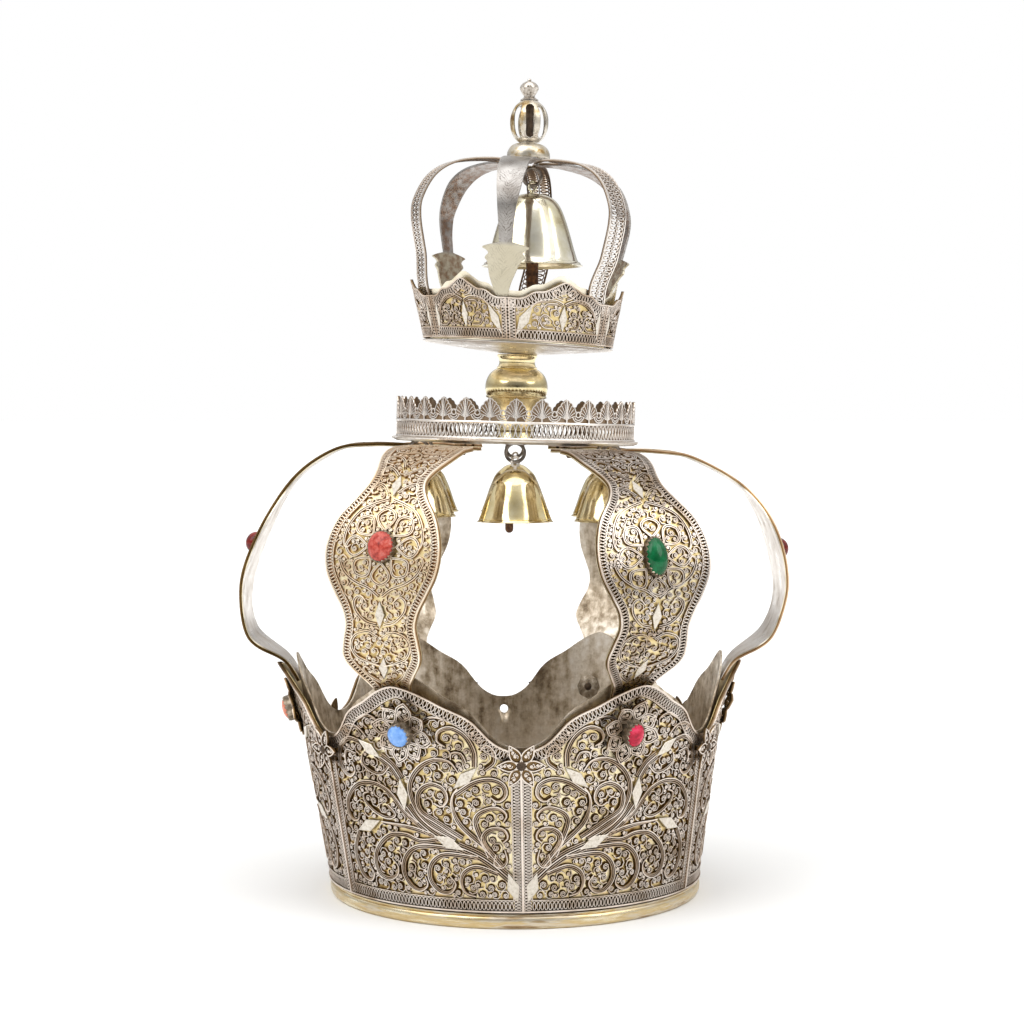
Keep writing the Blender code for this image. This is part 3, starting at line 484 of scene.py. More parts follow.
def pack_snails(corners, inside, wires, sizes, draw, step=0.35):
    """Fill the open field between the wires with snails, the largest first."""
    (left, low), (right, high) = corners
    tree = KDTree(sum(len(wire) for wire in wires))
    for count, point in enumerate(point for wire in wires for point in wire):
        tree.insert((point[0], point[1], 0.0), count)
    tree.balance()
    u, v = np.meshgrid(np.arange(left, right, step), np.arange(low, high, step))
    u, v = u.ravel(), v.ravel()
    kept = inside(u, v)
    u, v = u[kept], v[kept]
    room = np.array([tree.find((x, y, 0.0))[2] for x, y in zip(u, v)]) - FIELD_WIRE
    snails = []
    for size in sizes:
        while True:
            open_spots = np.flatnonzero(room >= size)
            if not len(open_spots):
                break
            snug = open_spots[room[open_spots] < size + step]
            spot = draw.choice(snug if len(snug) else open_spots)
            snails.append(snail(u[spot], v[spot], size, draw.uniform(0.0, math.tau),
                                draw.choice((-1, 1))))
            distance = np.hypot(u - u[spot], v - v[spot])
            room = np.minimum(room, distance - size)
    return snails


def thickened(bm, rise):
    """Raise a copy of a flat bmesh above it, closed all round."""
    raised = bmesh.ops.extrude_face_region(bm, geom=bm.faces[:])["geom"]
    tops = [item for item in raised if isinstance(item, bmesh.types.BMVert)]
    bmesh.ops.translate(bm, verts=tops, vec=(0, 0, rise))
    bmesh.ops.recalc_face_normals(bm, faces=bm.faces)


def flat_mesh(bm, lift=None):
    """The mesh of a bmesh that this frees, with one lift from 0 to 1 all over it."""
    made = bpy.data.meshes.new("flat")
    bm.to_mesh(made)
    bm.free()
    if lift is not None:
        lifts = made.attributes.new("lift", "FLOAT", "POINT").data
        lifts.foreach_set("value", [lift] * len(made.vertices))
    return made


def shade_disc(u, v, radius, lift):
    """A low dark disc under a snail, in mm, that paints the shade under its coil."""
    bm = bmesh.new()
    spot = Matrix.Translation((u, v, SHEET))
    bmesh.ops.create_circle(bm, cap_ends=True, segments=8, radius=radius, matrix=spot)
    thickened(bm, 0.1)
    return flat_mesh(bm, lift)


def lozenge(u, v, half_length, half_width, degrees, foot, top):
    """A flat diamond of sheet silver with a broken edge, in mm."""
    bm = bmesh.new()
    bmesh.ops.create_circle(bm, cap_ends=True, segments=4, radius=1.0)
    thickened(bm, 1.0)
    bmesh.ops.transform(bm, verts=bm.verts, matrix=(
        Matrix.Translation((u, v, foot)) @ Matrix.Rotation(math.radians(degrees), 4, "Z")
        @ Matrix.Diagonal((half_length, half_width, top - foot, 1.0))))
    upper = [edge for edge in bm.edges if all(vert.co.z > foot + 0.01 for vert in edge.verts)]
    bmesh.ops.bevel(bm, geom=upper, offset=0.15, affect="EDGES", segments=1, profile=0.5, material=-1)
    return flat_mesh(bm)


def off_lozenges(u, v, lozenges):
    """True for each flat point that none of the lozenges covers."""
    open_there = np.ones(len(u), bool)
    for middle_u, middle_v, half_length, half_width, degrees in lozenges:
        turn = math.radians(degrees)
        x, y = u - middle_u, v - middle_v
        open_there &= (np.abs(x * math.cos(turn) + y * math.sin(turn)) / half_length
                       + np.abs(y * math.cos(turn) - x * math.sin(turn)) / half_width) >= 1.0
    return open_there


def lozenge_plates(lozenges, flip, foot, top):
    """All of these lozenges as one mesh, mirrored if flip is -1."""
    return joined([lozenge(u * flip, v, half_length, half_width, degrees * flip, foot, top)
                   for u, v, half_length, half_width, degrees in lozenges])


def lozenge_line(u, v, half_length, half_width, degrees):
    """Outline of a lozenge, for wires to keep clear of."""
    turn = math.radians(degrees)
    corners = [(half_length, 0.0), (0.0, half_width), (-half_length, 0.0), (0.0, -half_width)]
    corners = np.array([(u + x * math.cos(turn) - y * math.sin(turn),
                         v + x * math.sin(turn) + y * math.cos(turn)) for x, y in corners])
    walk = np.vstack((corners, corners[:1]))
    return np.vstack([np.linspace(here, there, 12) for here, there in zip(walk, walk[1:])])


def straight(*corners, spacing=1.0):
    """Points along straight lines between corners, as an array."""
    corners = np.array(corners, float)
    pieces = [np.linspace(here, there, max(2, round(float(np.linalg.norm(there - here)) / spacing)))
              for here, there in zip(corners, corners[1:])]
    return np.vstack((pieces[0], *(piece[1:] for piece in pieces[1:])))


# The stem and its scrolls, laid flat for a panel whose stem is at its right: points
# in mm from the panel's middle and foot, each list starting at the stem.
STEM_LINES = (
    ((43, 15), (36, 21), (29, 25.5), (20, 29)),
    ((12, 32), (7, 35), (1.5, 39.5), (-3, 45)),
    ((-4.5, 57), (-8.5, 62.5), (-14, 66)),
)
SCROLLS = (
    ((14, 33), (3, 31), (-5, 33), (-14, 32), (-21.5, 26.5), (-25.5, 19.5), (-24, 13), (-18.5, 10.5),
     (-12.5, 13), (-11, 17.5), (-14, 20.5)),
    ((20, 28.5), (5, 29), (-2.5, 27), (-7.5, 22), (-9, 15.5), (-6, 9.5), (-0.5, 7.5), (4, 10.5),
     (3, 14.5)),
    ((29, 25), (15, 26), (8.5, 23.5), (5, 18.5), (5, 12.5), (9.5, 7.8), (15, 7.8), (18, 12),
     (15.5, 15.5)),
    ((38, 18), (28.5, 21), (22, 18.5), (20, 13.5), (22, 8.5), (27, 7)),
    ((9, 34), (-2.5, 36.5), (-18, 36.8)),
    ((-34, 31), (-38, 25), (-39.5, 18), (-36, 10.5), (-30, 8.5), (-26.8, 12), (-29, 15.5)),
    ((2, 38.5), (-4, 43), (-7, 47), (-12, 52), (-20, 54.5), (-29.5, 53), (-37, 47.5), (-40.5, 41),
     (-38, 35.5), (-33, 35.5), (-31.5, 39)),
    ((-25, 72.5), (-32, 73), (-39, 68), (-41, 61), (-38, 56), (-33.5, 55), (-30, 58), (-31.5, 62)),
    ((19, 31.5), (6, 38.5), (0, 46.5), (-1, 55), (3.5, 62.5), (11, 67), (18.5, 66.5), (22.5, 61.5)),
    ((22, 32), (11, 38.5), (3.5, 43), (2, 49), (4.5, 54), (10, 56.5), (15.5, 54.5), (17, 49.5),
     (14, 46), (10.5, 47.5)),
    ((34, 26.5), (21.5, 37.5), (18.3, 45.5), (19, 51), (21.5, 54.5)),
    ((30, 64), (30, 71), (26.5, 78), (20.5, 81.5), (15, 79.5), (14, 75), (17.5, 72.5)),
    ((20, 52.5), (28.5, 58), (36, 59.5), (41.5, 57), (42.5, 52), (39, 49), (35.5, 51)),
    ((33.5, 24.5), (28, 37.5), (28.5, 43), (32.8, 46), (38.5, 46.8), (42.3, 43.5), (40.5, 40)),
    ((39, 20.5), (31.5, 30), (31.5, 35), (35.5, 37.8), (40.8, 37.3), (42.6, 33.5), (40, 31)),
)
# Small scrolls that fill the corners: they spring from a border or from a scroll.
SPRIGS = (
    ((37, 26), (36, 21.5), (39.5, 20), (42, 23), (41, 28)),
    ((-13, 45), (-9, 41), (-13, 38.5), (-20, 40), (-26, 44), (-27, 48), (-23, 49.5)),
    ((-9.5, 62), (-14, 58), (-20, 58.5), (-25, 62), (-24, 66)),
    ((26, 66), (24, 70), (20, 70), (19.5, 67)),
    ((34, 62.5), (38, 66), (38, 71), (34.5, 74), (32, 71)),
    ((-28, 66), (-34, 67), (-36, 63), (-35, 60)),
    ((-36, 76), (-30, 79), (-24, 78), (-20, 74)),
    ((-24, 82), (-18, 84.5), (-13, 82.5), (-13.5, 79)),
    ((8, 83.5), (13, 85.5), (18, 84.5)),
)
# Middle, half length, half width and slant in degrees of each sheet silver lozenge.
LOZENGES = (
    (44.3, 11.3, 7.0, 2.9, -72), (16.0, 30.3, 7.4, 2.7, -23), (-4.3, 50.4, 7.4, 2.7, -87),
    (-19.2, 68.9, 7.0, 2.5, -32), (25.1, 59.1, 7.2, 2.6, 42), (-26.2, 34.1, 8.3, 2.7, 22),
)
# Depth of the coiled borders, and the pitch, reach and lean of the coil in each.
SIDE_BORDER, SIDE_COIL = 4.2, (1.35, 1.6, 0.55)
FOOT_BORDER, FOOT_COIL = 5.6, (1.85, 2.0, 0.62)
TOP_BORDER, TOP_COIL = 5.2, (1.75, 2.0, 0.62)
SIDE_COIL_IN = 2.3          # from the panel's edge to the middle of the coil
FOOT_COIL_UP = 3.2
SNAIL_SIZES = (2.3, 2.1, 1.9, 1.7, 1.5, 1.3, 1.1, 0.95)
SETTING_AT = 78.2           # height on a flat panel of the flower in its lobe
FLOWER_CLEAR = 7.5          # radius that this flower hides
BARE_SEAM = 3               # the seam at the back, which has lost its flower
BOLT_HOLE_HEIGHT = 70.4


def wire_metal(name, colour, roughness, mottle, wear, stops):
    """Wire whose colour follows its lift: dark at its foot, which paints the shade there as well as its
    oxide and dirt, and light on its top edge, which hands rub and which is painted as lit.

    Wear is how far patches this many mm across shift it, and the stops run from the shaded, dirty foot
    to the lit, bare metal.
    """
    made, tree, shader = start_material(name, colour, roughness, 1.0)
    place = add_node(tree, "ShaderNodeTexCoord")
    lift = add_node(tree, "ShaderNodeAttribute", attribute_name="lift")
    patches = add_node(tree, "ShaderNodeTexNoise", {"Vector": place.outputs["Object"]},
                       {"Scale": 1000.0 / mottle, "Detail": 4.0, "Roughness": 0.6})
    worn = add_node(tree, "ShaderNodeMapRange", {"Value": patches.outputs["Fac"]},
                    {"From Min": 0.3, "From Max": 0.7, "To Min": wear[0], "To Max": wear[1]})
    wear_and_light = add_node(tree, "ShaderNodeMath", {0: lift.outputs["Fac"], 1: worn.outputs[0]},
                   operation="ADD")
    # Low lift is painted shade and dirt, high lift painted light and wear.
    tarnish = add_node(tree, "ShaderNodeValToRGB", {"Fac": wear_and_light.outputs[0]}, stops=stops)
    tree.links.new(tarnish.outputs["Color"], shader.inputs["Base Color"])
    grit = add_node(tree, "ShaderNodeMapRange", {"Value": wear_and_light.outputs[0]},
                    {"From Min": 0.0, "From Max": 1.0,
                     "To Min": roughness + 0.24, "To Max": roughness - 0.08})
    tree.links.new(grit.outputs[0], shader.inputs["Roughness"])
    return made


# Oxidised silver wire: dark golden brown between the wires and along their foot, where the colour also
# paints their shade, rubbed to a warm pinkish grey and then to clean silver on the edge that hands
# touch, which is also painted as lit.
wire_silver = wire_metal("silver_wire_wear_and_shade", "#8E7F6F", 0.38, 18.0, (-0.2, 0.12),
                         ((0.0, "#352412"), (1.0, "#E9DDD1"), (0.25, "#68502C"), (0.5, "#866D4C"),
                          (0.8, "#B59F89")))
# Thin gilt sheet behind the wires: pale lemon gold, dulled in brown clouds where
# polish never reached.
gilt_sheet = clouded("gilt_backing_sheet", "#DCC68C", 0.42, 17.0,
                     ((0.34, "#FBF0CC"), (0.74, "#80602F"), (0.54, "#E2CC94")),
                     detail=3.0, dents=(0.3, 0.6))
# Cut sheet silver, filed flat: cream-grey with a fine speckle and a few dark nicks.
cut_silver = clouded("filed_sheet_silver", "#D9D2C4", 0.36, 1.3,
                     ((0.36, "#E4DDD2"), (0.74, "#9A8E7E"), (0.58, "#D2C9BB")),
                     grain=0.7, dents=(0.15, 0.1))


def backing_sheet(columns, rows, outline, thickness=SHEET):
    """A flat sheet in mm, whose grid from -1 to 1 both ways is carried into an outline."""
    bm = bmesh.new()
    bmesh.ops.create_grid(bm, x_segments=columns, y_segments=rows, size=1.0)
    thickened(bm, thickness)
    for vert in bm.verts:
        vert.co.x, vert.co.y = outline(vert.co.x, vert.co.y)
    return flat_mesh(bm)


def scroll_bands(scrolls, wires, spacing, taper):
    """Side by side wires that follow each scroll, the outermost first."""
    bands = []
    for points in scrolls:
        path = rounded(points, 1.5)
        side = inner_side(path)
        bands.append([beside(path, side * spacing * count, taper if count else 0.0)
                      for count in range(wires)])
    return bands


def inner_wires_of(bands):
    """All but the outermost wire of each band."""
    return [wire for band in bands for wire in band[1:]]


panel_bands = scroll_bands(SCROLLS, 3, 0.82, 16.0) + scroll_bands(SPRIGS, 2, 0.8, 8.0)
stems = [rounded(points, 1.5) for points in STEM_LINES]
outer_wires = [band[0] for band in panel_bands] + stems
inner_wires = inner_wires_of(panel_bands)
inner_wires += [beside(stem, offset) for stem in stems for offset in (-1.9, -1.0, 1.0, 1.9)]
# Under these lines lie the wide dark strips that paint the shade and dirt between wires.
shade_and_dirt_lines = [band[1] for band in panel_bands] + stems
side_x = PANEL_HALF - SIDE_BORDER
side_middle = PANEL_HALF - SIDE_COIL_IN
foot_middle = straight((-side_x, FOOT_COIL_UP), (side_x, FOOT_COIL_UP))
foot_edges = [straight((-side_x, FOOT_BORDER), (side_x, FOOT_BORDER)),
              straight((-PANEL_HALF, 0.5), (PANEL_HALF, 0.5))]


def top_border(drops, ends):
    """A panel's scalloped edge, and the middle and the inner edge of the border along it.

    The ends are how far the border's coil runs to the left and to the right.
    """
    edge_u = np.linspace(PANEL_HALF, -PANEL_HALF, 90)
    edge = np.column_stack((edge_u, panel_top(edge_u, drops)))
    middle, inner = beside(edge, TOP_BORDER / 2 + 0.3), beside(edge, TOP_BORDER)
    middle = middle[(middle[:, 0] > -ends[0]) & (middle[:, 0] < ends[1])]
    return edge, middle, inner[np.abs(inner[:, 0]) < side_x]


def side_border(side, drops, bolted):
    """The inner edge and the middle of a panel's side border, stopped under a bolt hole."""
    top = float(panel_top(side * side_x, drops))
    middle_top = BOLT_HOLE_HEIGHT - PANEL_FOOT - 4.2 if bolted else top - 1.2
    return (straight((side * side_x, FOOT_BORDER), (side * side_x, top - TOP_BORDER)),
            straight((side * side_middle, 1.0), (side * side_middle, middle_top)))


def oval(v, half_width, half_height):
    """A closed oval round a point of the middle line."""
    angle = np.linspace(0.0, math.tau, 60)
    return np.column_stack((half_width * np.cos(angle), v + half_height * np.sin(angle)))


LEVEL = (0.0, 0.0)          # the drops of a panel that is not cut deeper at either seam
kept_clear = outer_wires + inner_wires + foot_edges + [oval(SETTING_AT, FLOWER_CLEAR, FLOWER_CLEAR)]
kept_clear.append(top_border(LEVEL, (PANEL_HALF, PANEL_HALF))[2])
kept_clear += [side_border(side, LEVEL, False)[0] for side in (-1, 1)]
kept_clear += [lozenge_line(*numbers) for numbers in LOZENGES]


def in_panel_field(u, v):
    return ((np.abs(u) < side_x) & (v > FOOT_BORDER) & (v < panel_top(u, LEVEL) - TOP_BORDER)
            & (np.hypot(u, v - SETTING_AT) > FLOWER_CLEAR) & off_lozenges(u, v, LOZENGES))


snails = pack_snails(((-side_x, FOOT_BORDER), (side_x, 94.0)), in_panel_field, kept_clear,
                     SNAIL_SIZES, random.Random(7))

for index in range(SIDES):
    flip = 1.0 if index % 2 == 0 else -1.0
    mirror = np.array((flip, 1.0))
    drops = (SEAM_DROPS[index - 1], SEAM_DROPS[index])
    bolted = (index - 1 == BARE_SEAM, index == BARE_SEAM)
    edge, top_middle, top_inner = top_border(drops, [PANEL_HALF - 4.5 * hole for hole in bolted])
    left, right = (side_border(side, drops, hole) for side, hole in zip((-1, 1), bolted))
    coils = [coil_border(foot_middle, *FOOT_COIL), coil_border(top_middle, *TOP_COIL)]
    coils += [coil_border(side[1], *SIDE_COIL) for side in (left, right)]
    # Each snail gets a low dark disc under it, which paints the shade of its coil on the sheet.
    patches = [shade_disc(*(wire[4:].mean(axis=0) * mirror), 0.5 * np.ptp(wire[:, 0]), 0.3)
               for wire in snails]
    filigree = wirework(
        (snails, FIELD_WIRE, SNAIL_TOP, SHEET, 1.0, mirror),
        (inner_wires, FINE_WIRE, SCROLL_TOP - 0.1, SHEET, 0.84, mirror),
        (outer_wires, 0.6, SCROLL_TOP, SHEET, 1.0, mirror),
        # The wide low strips below are dark sheets that paint the shade between the wires, together
        # with dirt.
        (shade_and_dirt_lines, 2.6, SHEET + SHADE_AND_DIRT_RISE, SHEET, 0.3, mirror),
        ([left[1], right[1]], 2.6, SHEET + SHADE_AND_DIRT_RISE, SHEET, 0.3),
        ([foot_middle], 4.6, SHEET + 0.1, SHEET, 0.3), ([top_middle], 4.4, SHEET + 0.1, SHEET, 0.3),
        (coils, FINE_WIRE, 1.8, SHEET, 1.0),
        ([foot_edges[0], top_inner, left[0], right[0]], EDGE_WIRE, 1.9, SHEET, 1.0),
        ([edge - (0.0, 0.55), foot_edges[1]], RIM_WIRE, RIM_TOP, SHEET, 1.0), extra=patches)
    fit(f"coronet_filigree_{index + 1}", bend(filigree, on_panel(index)), wire_silver)
    backing = backing_sheet(48, 30, lambda x, y: (
        x * PANEL_HALF, (y + 1.0) / 2.0 * (float(panel_top(x * PANEL_HALF, drops)) - 0.4)))
    fit(f"coronet_sheet_{index + 1}", bend(backing, on_panel(index)), gilt_sheet,
        f"coronet_panel_{index + 1}")
    plates = lozenge_plates(LOZENGES, flip, 1.4, 2.28)
    fit(f"coronet_lozenges_{index + 1}", bend(plates, on_panel(index)), cut_silver)

# ---------------------------------------------------------------------------
# Seam bars: a half-round strip of silver over each joint between two panels. At the
# back the strip stops under the empty bolt hole.
BAR_WIDTH = 1.4
BOLT_HOLE_RADIUS = 2.1
BOLT_HOLE_DEPTH = 16.0      # through both panels and the lining


def seam_angle(index):
    return CORONET_TURN + index * SIDE_ANGLE


def on_seam(index):
    """Where flat ornament lands on a seam, from the panels' foot and the rear of their sheets."""
    def place(u, v, h):
        height = PANEL_FOOT + v
        radius = PANEL_RADIUS + WALL_SLOPE * height - PANEL_DEPTH + h
        return leaning(seam_angle(index) + u / radius, height, radius)
    return place


for index in range(SIDES):
    top = BOLT_HOLE_HEIGHT - 5.0 if index == BARE_SEAM else VALLEY_HEIGHT - 0.6 - SEAM_DROPS[index]
    bar = [straight((0.0, 0.1), (0.0, top - PANEL_FOOT))]
    bar = lay_wires(bar, BAR_WIDTH, RIM_TOP + 0.02, 0.2, 1.0)
    fit(f"coronet_seam_bar_{index + 1}", bend(bar, on_seam(index)), wire_silver)

# ---------------------------------------------------------------------------
# Rosettes: a flower of six pointed filigree petals on a thin plate, bolted over each
# seam by a round-headed rivet. The one at the back is lost.
ROSETTE_HEIGHT = 72.7
ROSETTE_START = 1.6
ROSETTE_REACH = 10.4
ROSETTE_PETAL = 2.3         # half width of a petal
ROSETTE_STANDOFF = 1.2


def facing(middle, azimuth, droop):
    """Frame in metres whose +Z points outwards at this azimuth, and down by the droop."""
    turn = Matrix.Rotation(azimuth, 4, "Z") @ Matrix.Rotation(math.pi / 2 + droop, 4, "X")
    return Matrix.Translation(Vector(middle) * MM) @ turn


def seam_frame(index, height, standoff):
    """Frame that stands this far off the wall over a seam."""
    middle = leaning(seam_angle(index), height, PANEL_RADIUS + WALL_SLOPE * height + standoff)
    return facing(middle, seam_angle(index), math.atan(WALL_SLOPE))


def on_frame(matrix, dish=None):
    """Where flat ornament lands on a frame, dished by a function of its distance from the middle."""
    turn = np.array(matrix.to_3x3())
    middle = np.array(matrix.translation) / MM

    def place(u, v, h):
        lifted = h + dish(np.hypot(u, v)) if dish else h
        return (np.column_stack((u, v, lifted)) @ turn.T + middle).T
    return place


def petal_line(angle, start, reach, width, shift=0.72, count=17, fullness=1.0):
    """A closed petal outline from near the middle out to its tip. The angle is from straight up."""
    share = np.linspace(0.0, 1.0, count)
    out = start + (reach - start) * share
    half = width * np.maximum(np.sin(np.pi * share ** shift), 0.0) ** fullness
    x = np.concatenate((half, -half[-2::-1]))
    y = np.concatenate((out, out[-2::-1]))
    return np.column_stack((x * math.cos(angle) + y * math.sin(angle),
                            y * math.cos(angle) - x * math.sin(angle)))


def flat_plate(line, foot, top, lift):
    """A flat plate of sheet, in mm, inside a closed outline."""
    bm = bmesh.new()
    bm.faces.new([bm.verts.new((x, y, foot)) for x, y in line])
    thickened(bm, top - foot)
    return flat_mesh(bm, lift)


def draw_snail(u, v, radius, draw):
    """A snail turned and handed at random."""
    return snail(u, v, radius, draw.uniform(0.0, math.tau), draw.choice((-1, 1)))


# Wrought iron rivets and nuts: brown-black, with a dull rub on the crown.
dark_iron = clouded("browned_iron", "#3A2E26", 0.5, 2.0, ((0.3, "#6B5A4A"), (0.75, "#2A211B")),
                    metallic=0.8)

petal_draw = random.Random(11)
ROSETTE_CURLS = ((4.6, 1.0), (6.6, 0.85), (8.3, 0.6))       # distance from the middle, and size
for index in range(SIDES):
    if index == BARE_SEAM:
        continue
    lines, curls, plates = [], [], []
    for petal in range(SIDES):
        angle = (petal + 0.5) * SIDE_ANGLE
        line = petal_line(angle, ROSETTE_START, ROSETTE_REACH, ROSETTE_PETAL)
        lines.append(line)
        plates.append(flat_plate(line[:-1], 0.0, 0.35, 0.42))
        curls += [draw_snail(reach * math.sin(angle), reach * math.cos(angle), size, petal_draw)
                  for reach, size in ROSETTE_CURLS]
    flower = wirework((lines, 0.6, 1.25, 0.3, 1.1), (curls, FINE_WIRE, 1.0, 0.3, 1.1))
    stand = seam_frame(index, ROSETTE_HEIGHT, ROSETTE_STANDOFF)
    at_seam = on_frame(stand)
    fit(f"rosette_wires_{index + 1}", bend(flower, at_seam), wire_silver)
    fit(f"rosette_plate_{index + 1}", bend(joined(plates), at_seam), wire_silver,
        f"coronet_rosette_{index + 1}")
    rivet = turned([(0.6, 2.0), (1.5, 1.75), (2.1, 1.2), (2.3, 0.6), (2.3, 0.0)], 20)
    fit(f"rosette_rivet_{index + 1}", rivet, dark_iron, at=stand)

# ---------------------------------------------------------------------------
# Settings in the lobes: a filigree flower that stands off the panel, with a tall
# saw-toothed silver collet in its middle that grips a cabochon. The lobe at the
# right has lost its collet and stone.
SETTING_HEIGHT = 85.6
SETTING_RISE = 5.2
SETTING_DROOP = math.radians(16.7)
FLOWER_REACH = 14.6
FLOWER_RISE = 2.4
# Half width, half height and rise of each stone, for the lobes from the front left one on.
CORONET_STONES = (
    (4.8, 4.9, 1.6), (3.9, 5.2, 1.4), None, (4.9, 4.9, 1.6), (4.4, 5.0, 1.5), (5.0, 5.2, 2.0),
)
SETTING_SHIFTS = (0.0, -1.5, 0.0, 0.0, 0.0, 0.0)     # degrees off the lobe's middle
SETTING_PETALS = 8
SETTING_TURN = 0.25         # radians from upright to the first petal
# Distance out along a petal, distance to its side, and size of each curl.
SETTING_CURLS = ((8.0, 0.9, 1.2), (9.2, -1.3, 1.1), (11.0, 0.7, 1.2), (12.6, -0.3, 0.7))


def setting_frame(index):
    azimuth = lobe_angle(index) + math.radians(SETTING_SHIFTS[index])
    climb = (SETTING_HEIGHT - FLARE_START) / (VALLEY_HEIGHT + PANEL_LOBE - FLARE_START)
    radius = PANEL_RADIUS + WALL_SLOPE * SETTING_HEIGHT + PANEL_FLARE * climb ** 6
    return facing(leaning(azimuth, SETTING_HEIGHT, radius), azimuth, SETTING_DROOP)


def collet(half_width, half_height, foot, top, teeth, wall=0.13):
    """An oval tube of sheet whose saw-toothed lip leans in over a stone."""
    line = [(1.0, foot), (1.0 + wall, foot), (1.0 + wall, top - 0.5), (1.0, top - 0.5)]
    bm = turned(line, 2 * teeth, True)
    for count, vert in enumerate(sorted((v for v in bm.verts if v.co.z > (top - 0.6) * MM),
                                        key=lambda v: math.atan2(v.co.y, v.co.x))):
        tooth = (count // 2) % 2
        vert.co.z += 0.9 * MM * tooth
        vert.co.xy *= 1.0 - 0.06 * tooth
    bmesh.ops.scale(bm, verts=bm.verts, vec=(half_width, half_height, 1.0))
    return bm


def cabochon(half_width, half_height, rise, foot):
    """A domed stone, polished, with a rounded girdle."""
    arc = [(math.sin(step * math.pi / 22), math.cos(step * math.pi / 22)) for step in range(1, 12)]
    bm = turned([*arc, (0.97, -0.12), (0.85, -0.2)], 40)
    bmesh.ops.scale(bm, verts=bm.verts, vec=(half_width, half_height, rise))
    bmesh.ops.translate(bm, verts=bm.verts, vec=(0, 0, foot * MM))
    return bm


def stone_material(name, colour, clouds, roughness, mottle):
    """Polished stone or glass: a clear gloss over a clouded body. The mottle is its size in mm."""
    made, tree, shader = start_material(name, colour, roughness, 0.0)
    shader.inputs["IOR"].default_value = 1.45
    shader.inputs["Specular IOR Level"].default_value = 0.3
    shader.inputs["Coat Weight"].default_value = 0.12
    shader.inputs["Coat Roughness"].default_value = 0.05
    place = add_node(tree, "ShaderNodeTexCoord")
    body = add_node(tree, "ShaderNodeTexNoise", {"Vector": place.outputs["Object"]},
                    {"Scale": 1000.0 / mottle, "Detail": 5.0, "Roughness": 0.65})
    tones = add_node(tree, "ShaderNodeValToRGB", {"Fac": body.outputs["Fac"]},
                     stops=((0.32, clouds[0]), (0.68, clouds[1]), (0.5, colour)))
    tree.links.new(tones.outputs["Color"], shader.inputs["Base Color"])
    return made


# Opaque blue glass, rose-red foiled glass, green and garnet glass, and pink coral:
# each is drawn with soft clouds of its own colour, so that it does not look like paint.
blue_glass = stone_material("pale_blue_glass", "#78A8EA", ("#6594E0", "#9CC2F5"), 0.22, 3.0)
rose_glass = stone_material("rose_red_glass", "#C4203E", ("#8E0D28", "#E8476A"), 0.08, 4.0)
leaf_glass = stone_material("deep_green_glass", "#07552E", ("#043C20", "#0B6C3F"), 0.1, 5.0)
garnet = stone_material("garnet_glass", "#6E1A14", ("#4A0D0A", "#8E2A20"), 0.14, 4.0)
pink_coral = stone_material("pale_coral", "#D98268", ("#C46A52", "#E8A48E"), 0.3, 2.0)
red_coral = stone_material("mottled_red_coral", "#BC4A3E", ("#842620", "#D0766A"), 0.18, 2.4)

# Tarnished sheet silver of the collets: dull grey-brown with darker pits.
dull_silver = clouded("tarnished_collet_silver", "#8C8070", 0.42, 2.4,
                      ((0.3, "#CFC4B4"), (0.75, "#54483A"), (0.5, "#978A79")), detail=5.0, grain=0.7,
                      dents=(0.4, 0.3))

stone_surfaces = (blue_glass, rose_glass, None, leaf_glass, garnet, pink_coral)
for index, size in enumerate(CORONET_STONES):
    lines, curls = [], []
    for petal in range(SETTING_PETALS):
        angle = petal * math.tau / SETTING_PETALS + SETTING_TURN
        reach = FLOWER_REACH - (1.6 if petal % 2 else 0.0)
        lines += [petal_line(angle, 5.0, reach, 3.7, 1.0),
                  petal_line(angle, 6.0, reach - 1.2, 2.9, 1.0)]
        curls += [draw_snail(out * math.sin(angle) + side * math.cos(angle),
                             out * math.cos(angle) - side * math.sin(angle), curl, petal_draw)
                  for out, side, curl in SETTING_CURLS]
    flower = wirework((lines, 0.55, 1.2, 0.0, 1.0), (curls, FINE_WIRE, 0.95, 0.0, 1.0))
    stand = on_frame(setting_frame(index),
                     lambda reach: (reach / FLOWER_REACH) ** 1.5 * (FLOWER_RISE - 0.8) - 0.4)
    fit(f"setting_flower_{index + 1}", bend(flower, stand), wire_silver)
    if size is None:
        continue
    half_width, half_height, rise = size
    cup = collet(half_width + 0.1, half_height + 0.1, -1.2, SETTING_RISE + 0.3, 16)
    fit(f"setting_collet_{index + 1}", cup, dull_silver,
        at=setting_frame(index))
    stone = cabochon(half_width, half_height, rise + 0.6, SETTING_RISE - 0.3)
    node = f"coronet_stone_{index + 1}"
    fit(f"coronet_cabochon_{index + 1}", stone, stone_surfaces[index], node,
        setting_frame(index))

# ---------------------------------------------------------------------------
# Coronet lining: one band of sheet silver, hammered round and cut to lobes that
# stand a little behind the panels, tarnished in clouds where nobody polishes.
LINING_DEPTH = 3.2
LINING_THICKNESS = 0.8
LINING_VALLEY = 79.6
LINING_LOBE = 30.7


def ring_wall(steps, rows, place):
    """A closed wall round Z, from its azimuth, its share of height and its inner or outer side."""
    levels = [step / rows for step in range(rows + 1)]
    line = [(2.0, level) for level in levels] + [(1.0, level) for level in reversed(levels)]
    bm = turned(line, steps, True)
    for vert in bm.verts:
        azimuth = math.atan2(vert.co.x, -vert.co.y)
        vert.co = Vector(place(azimuth, vert.co.z / MM, vert.co.xy.length > 1.5 * MM)) * MM
    bmesh.ops.recalc_face_normals(bm, faces=bm.faces)
    return bm


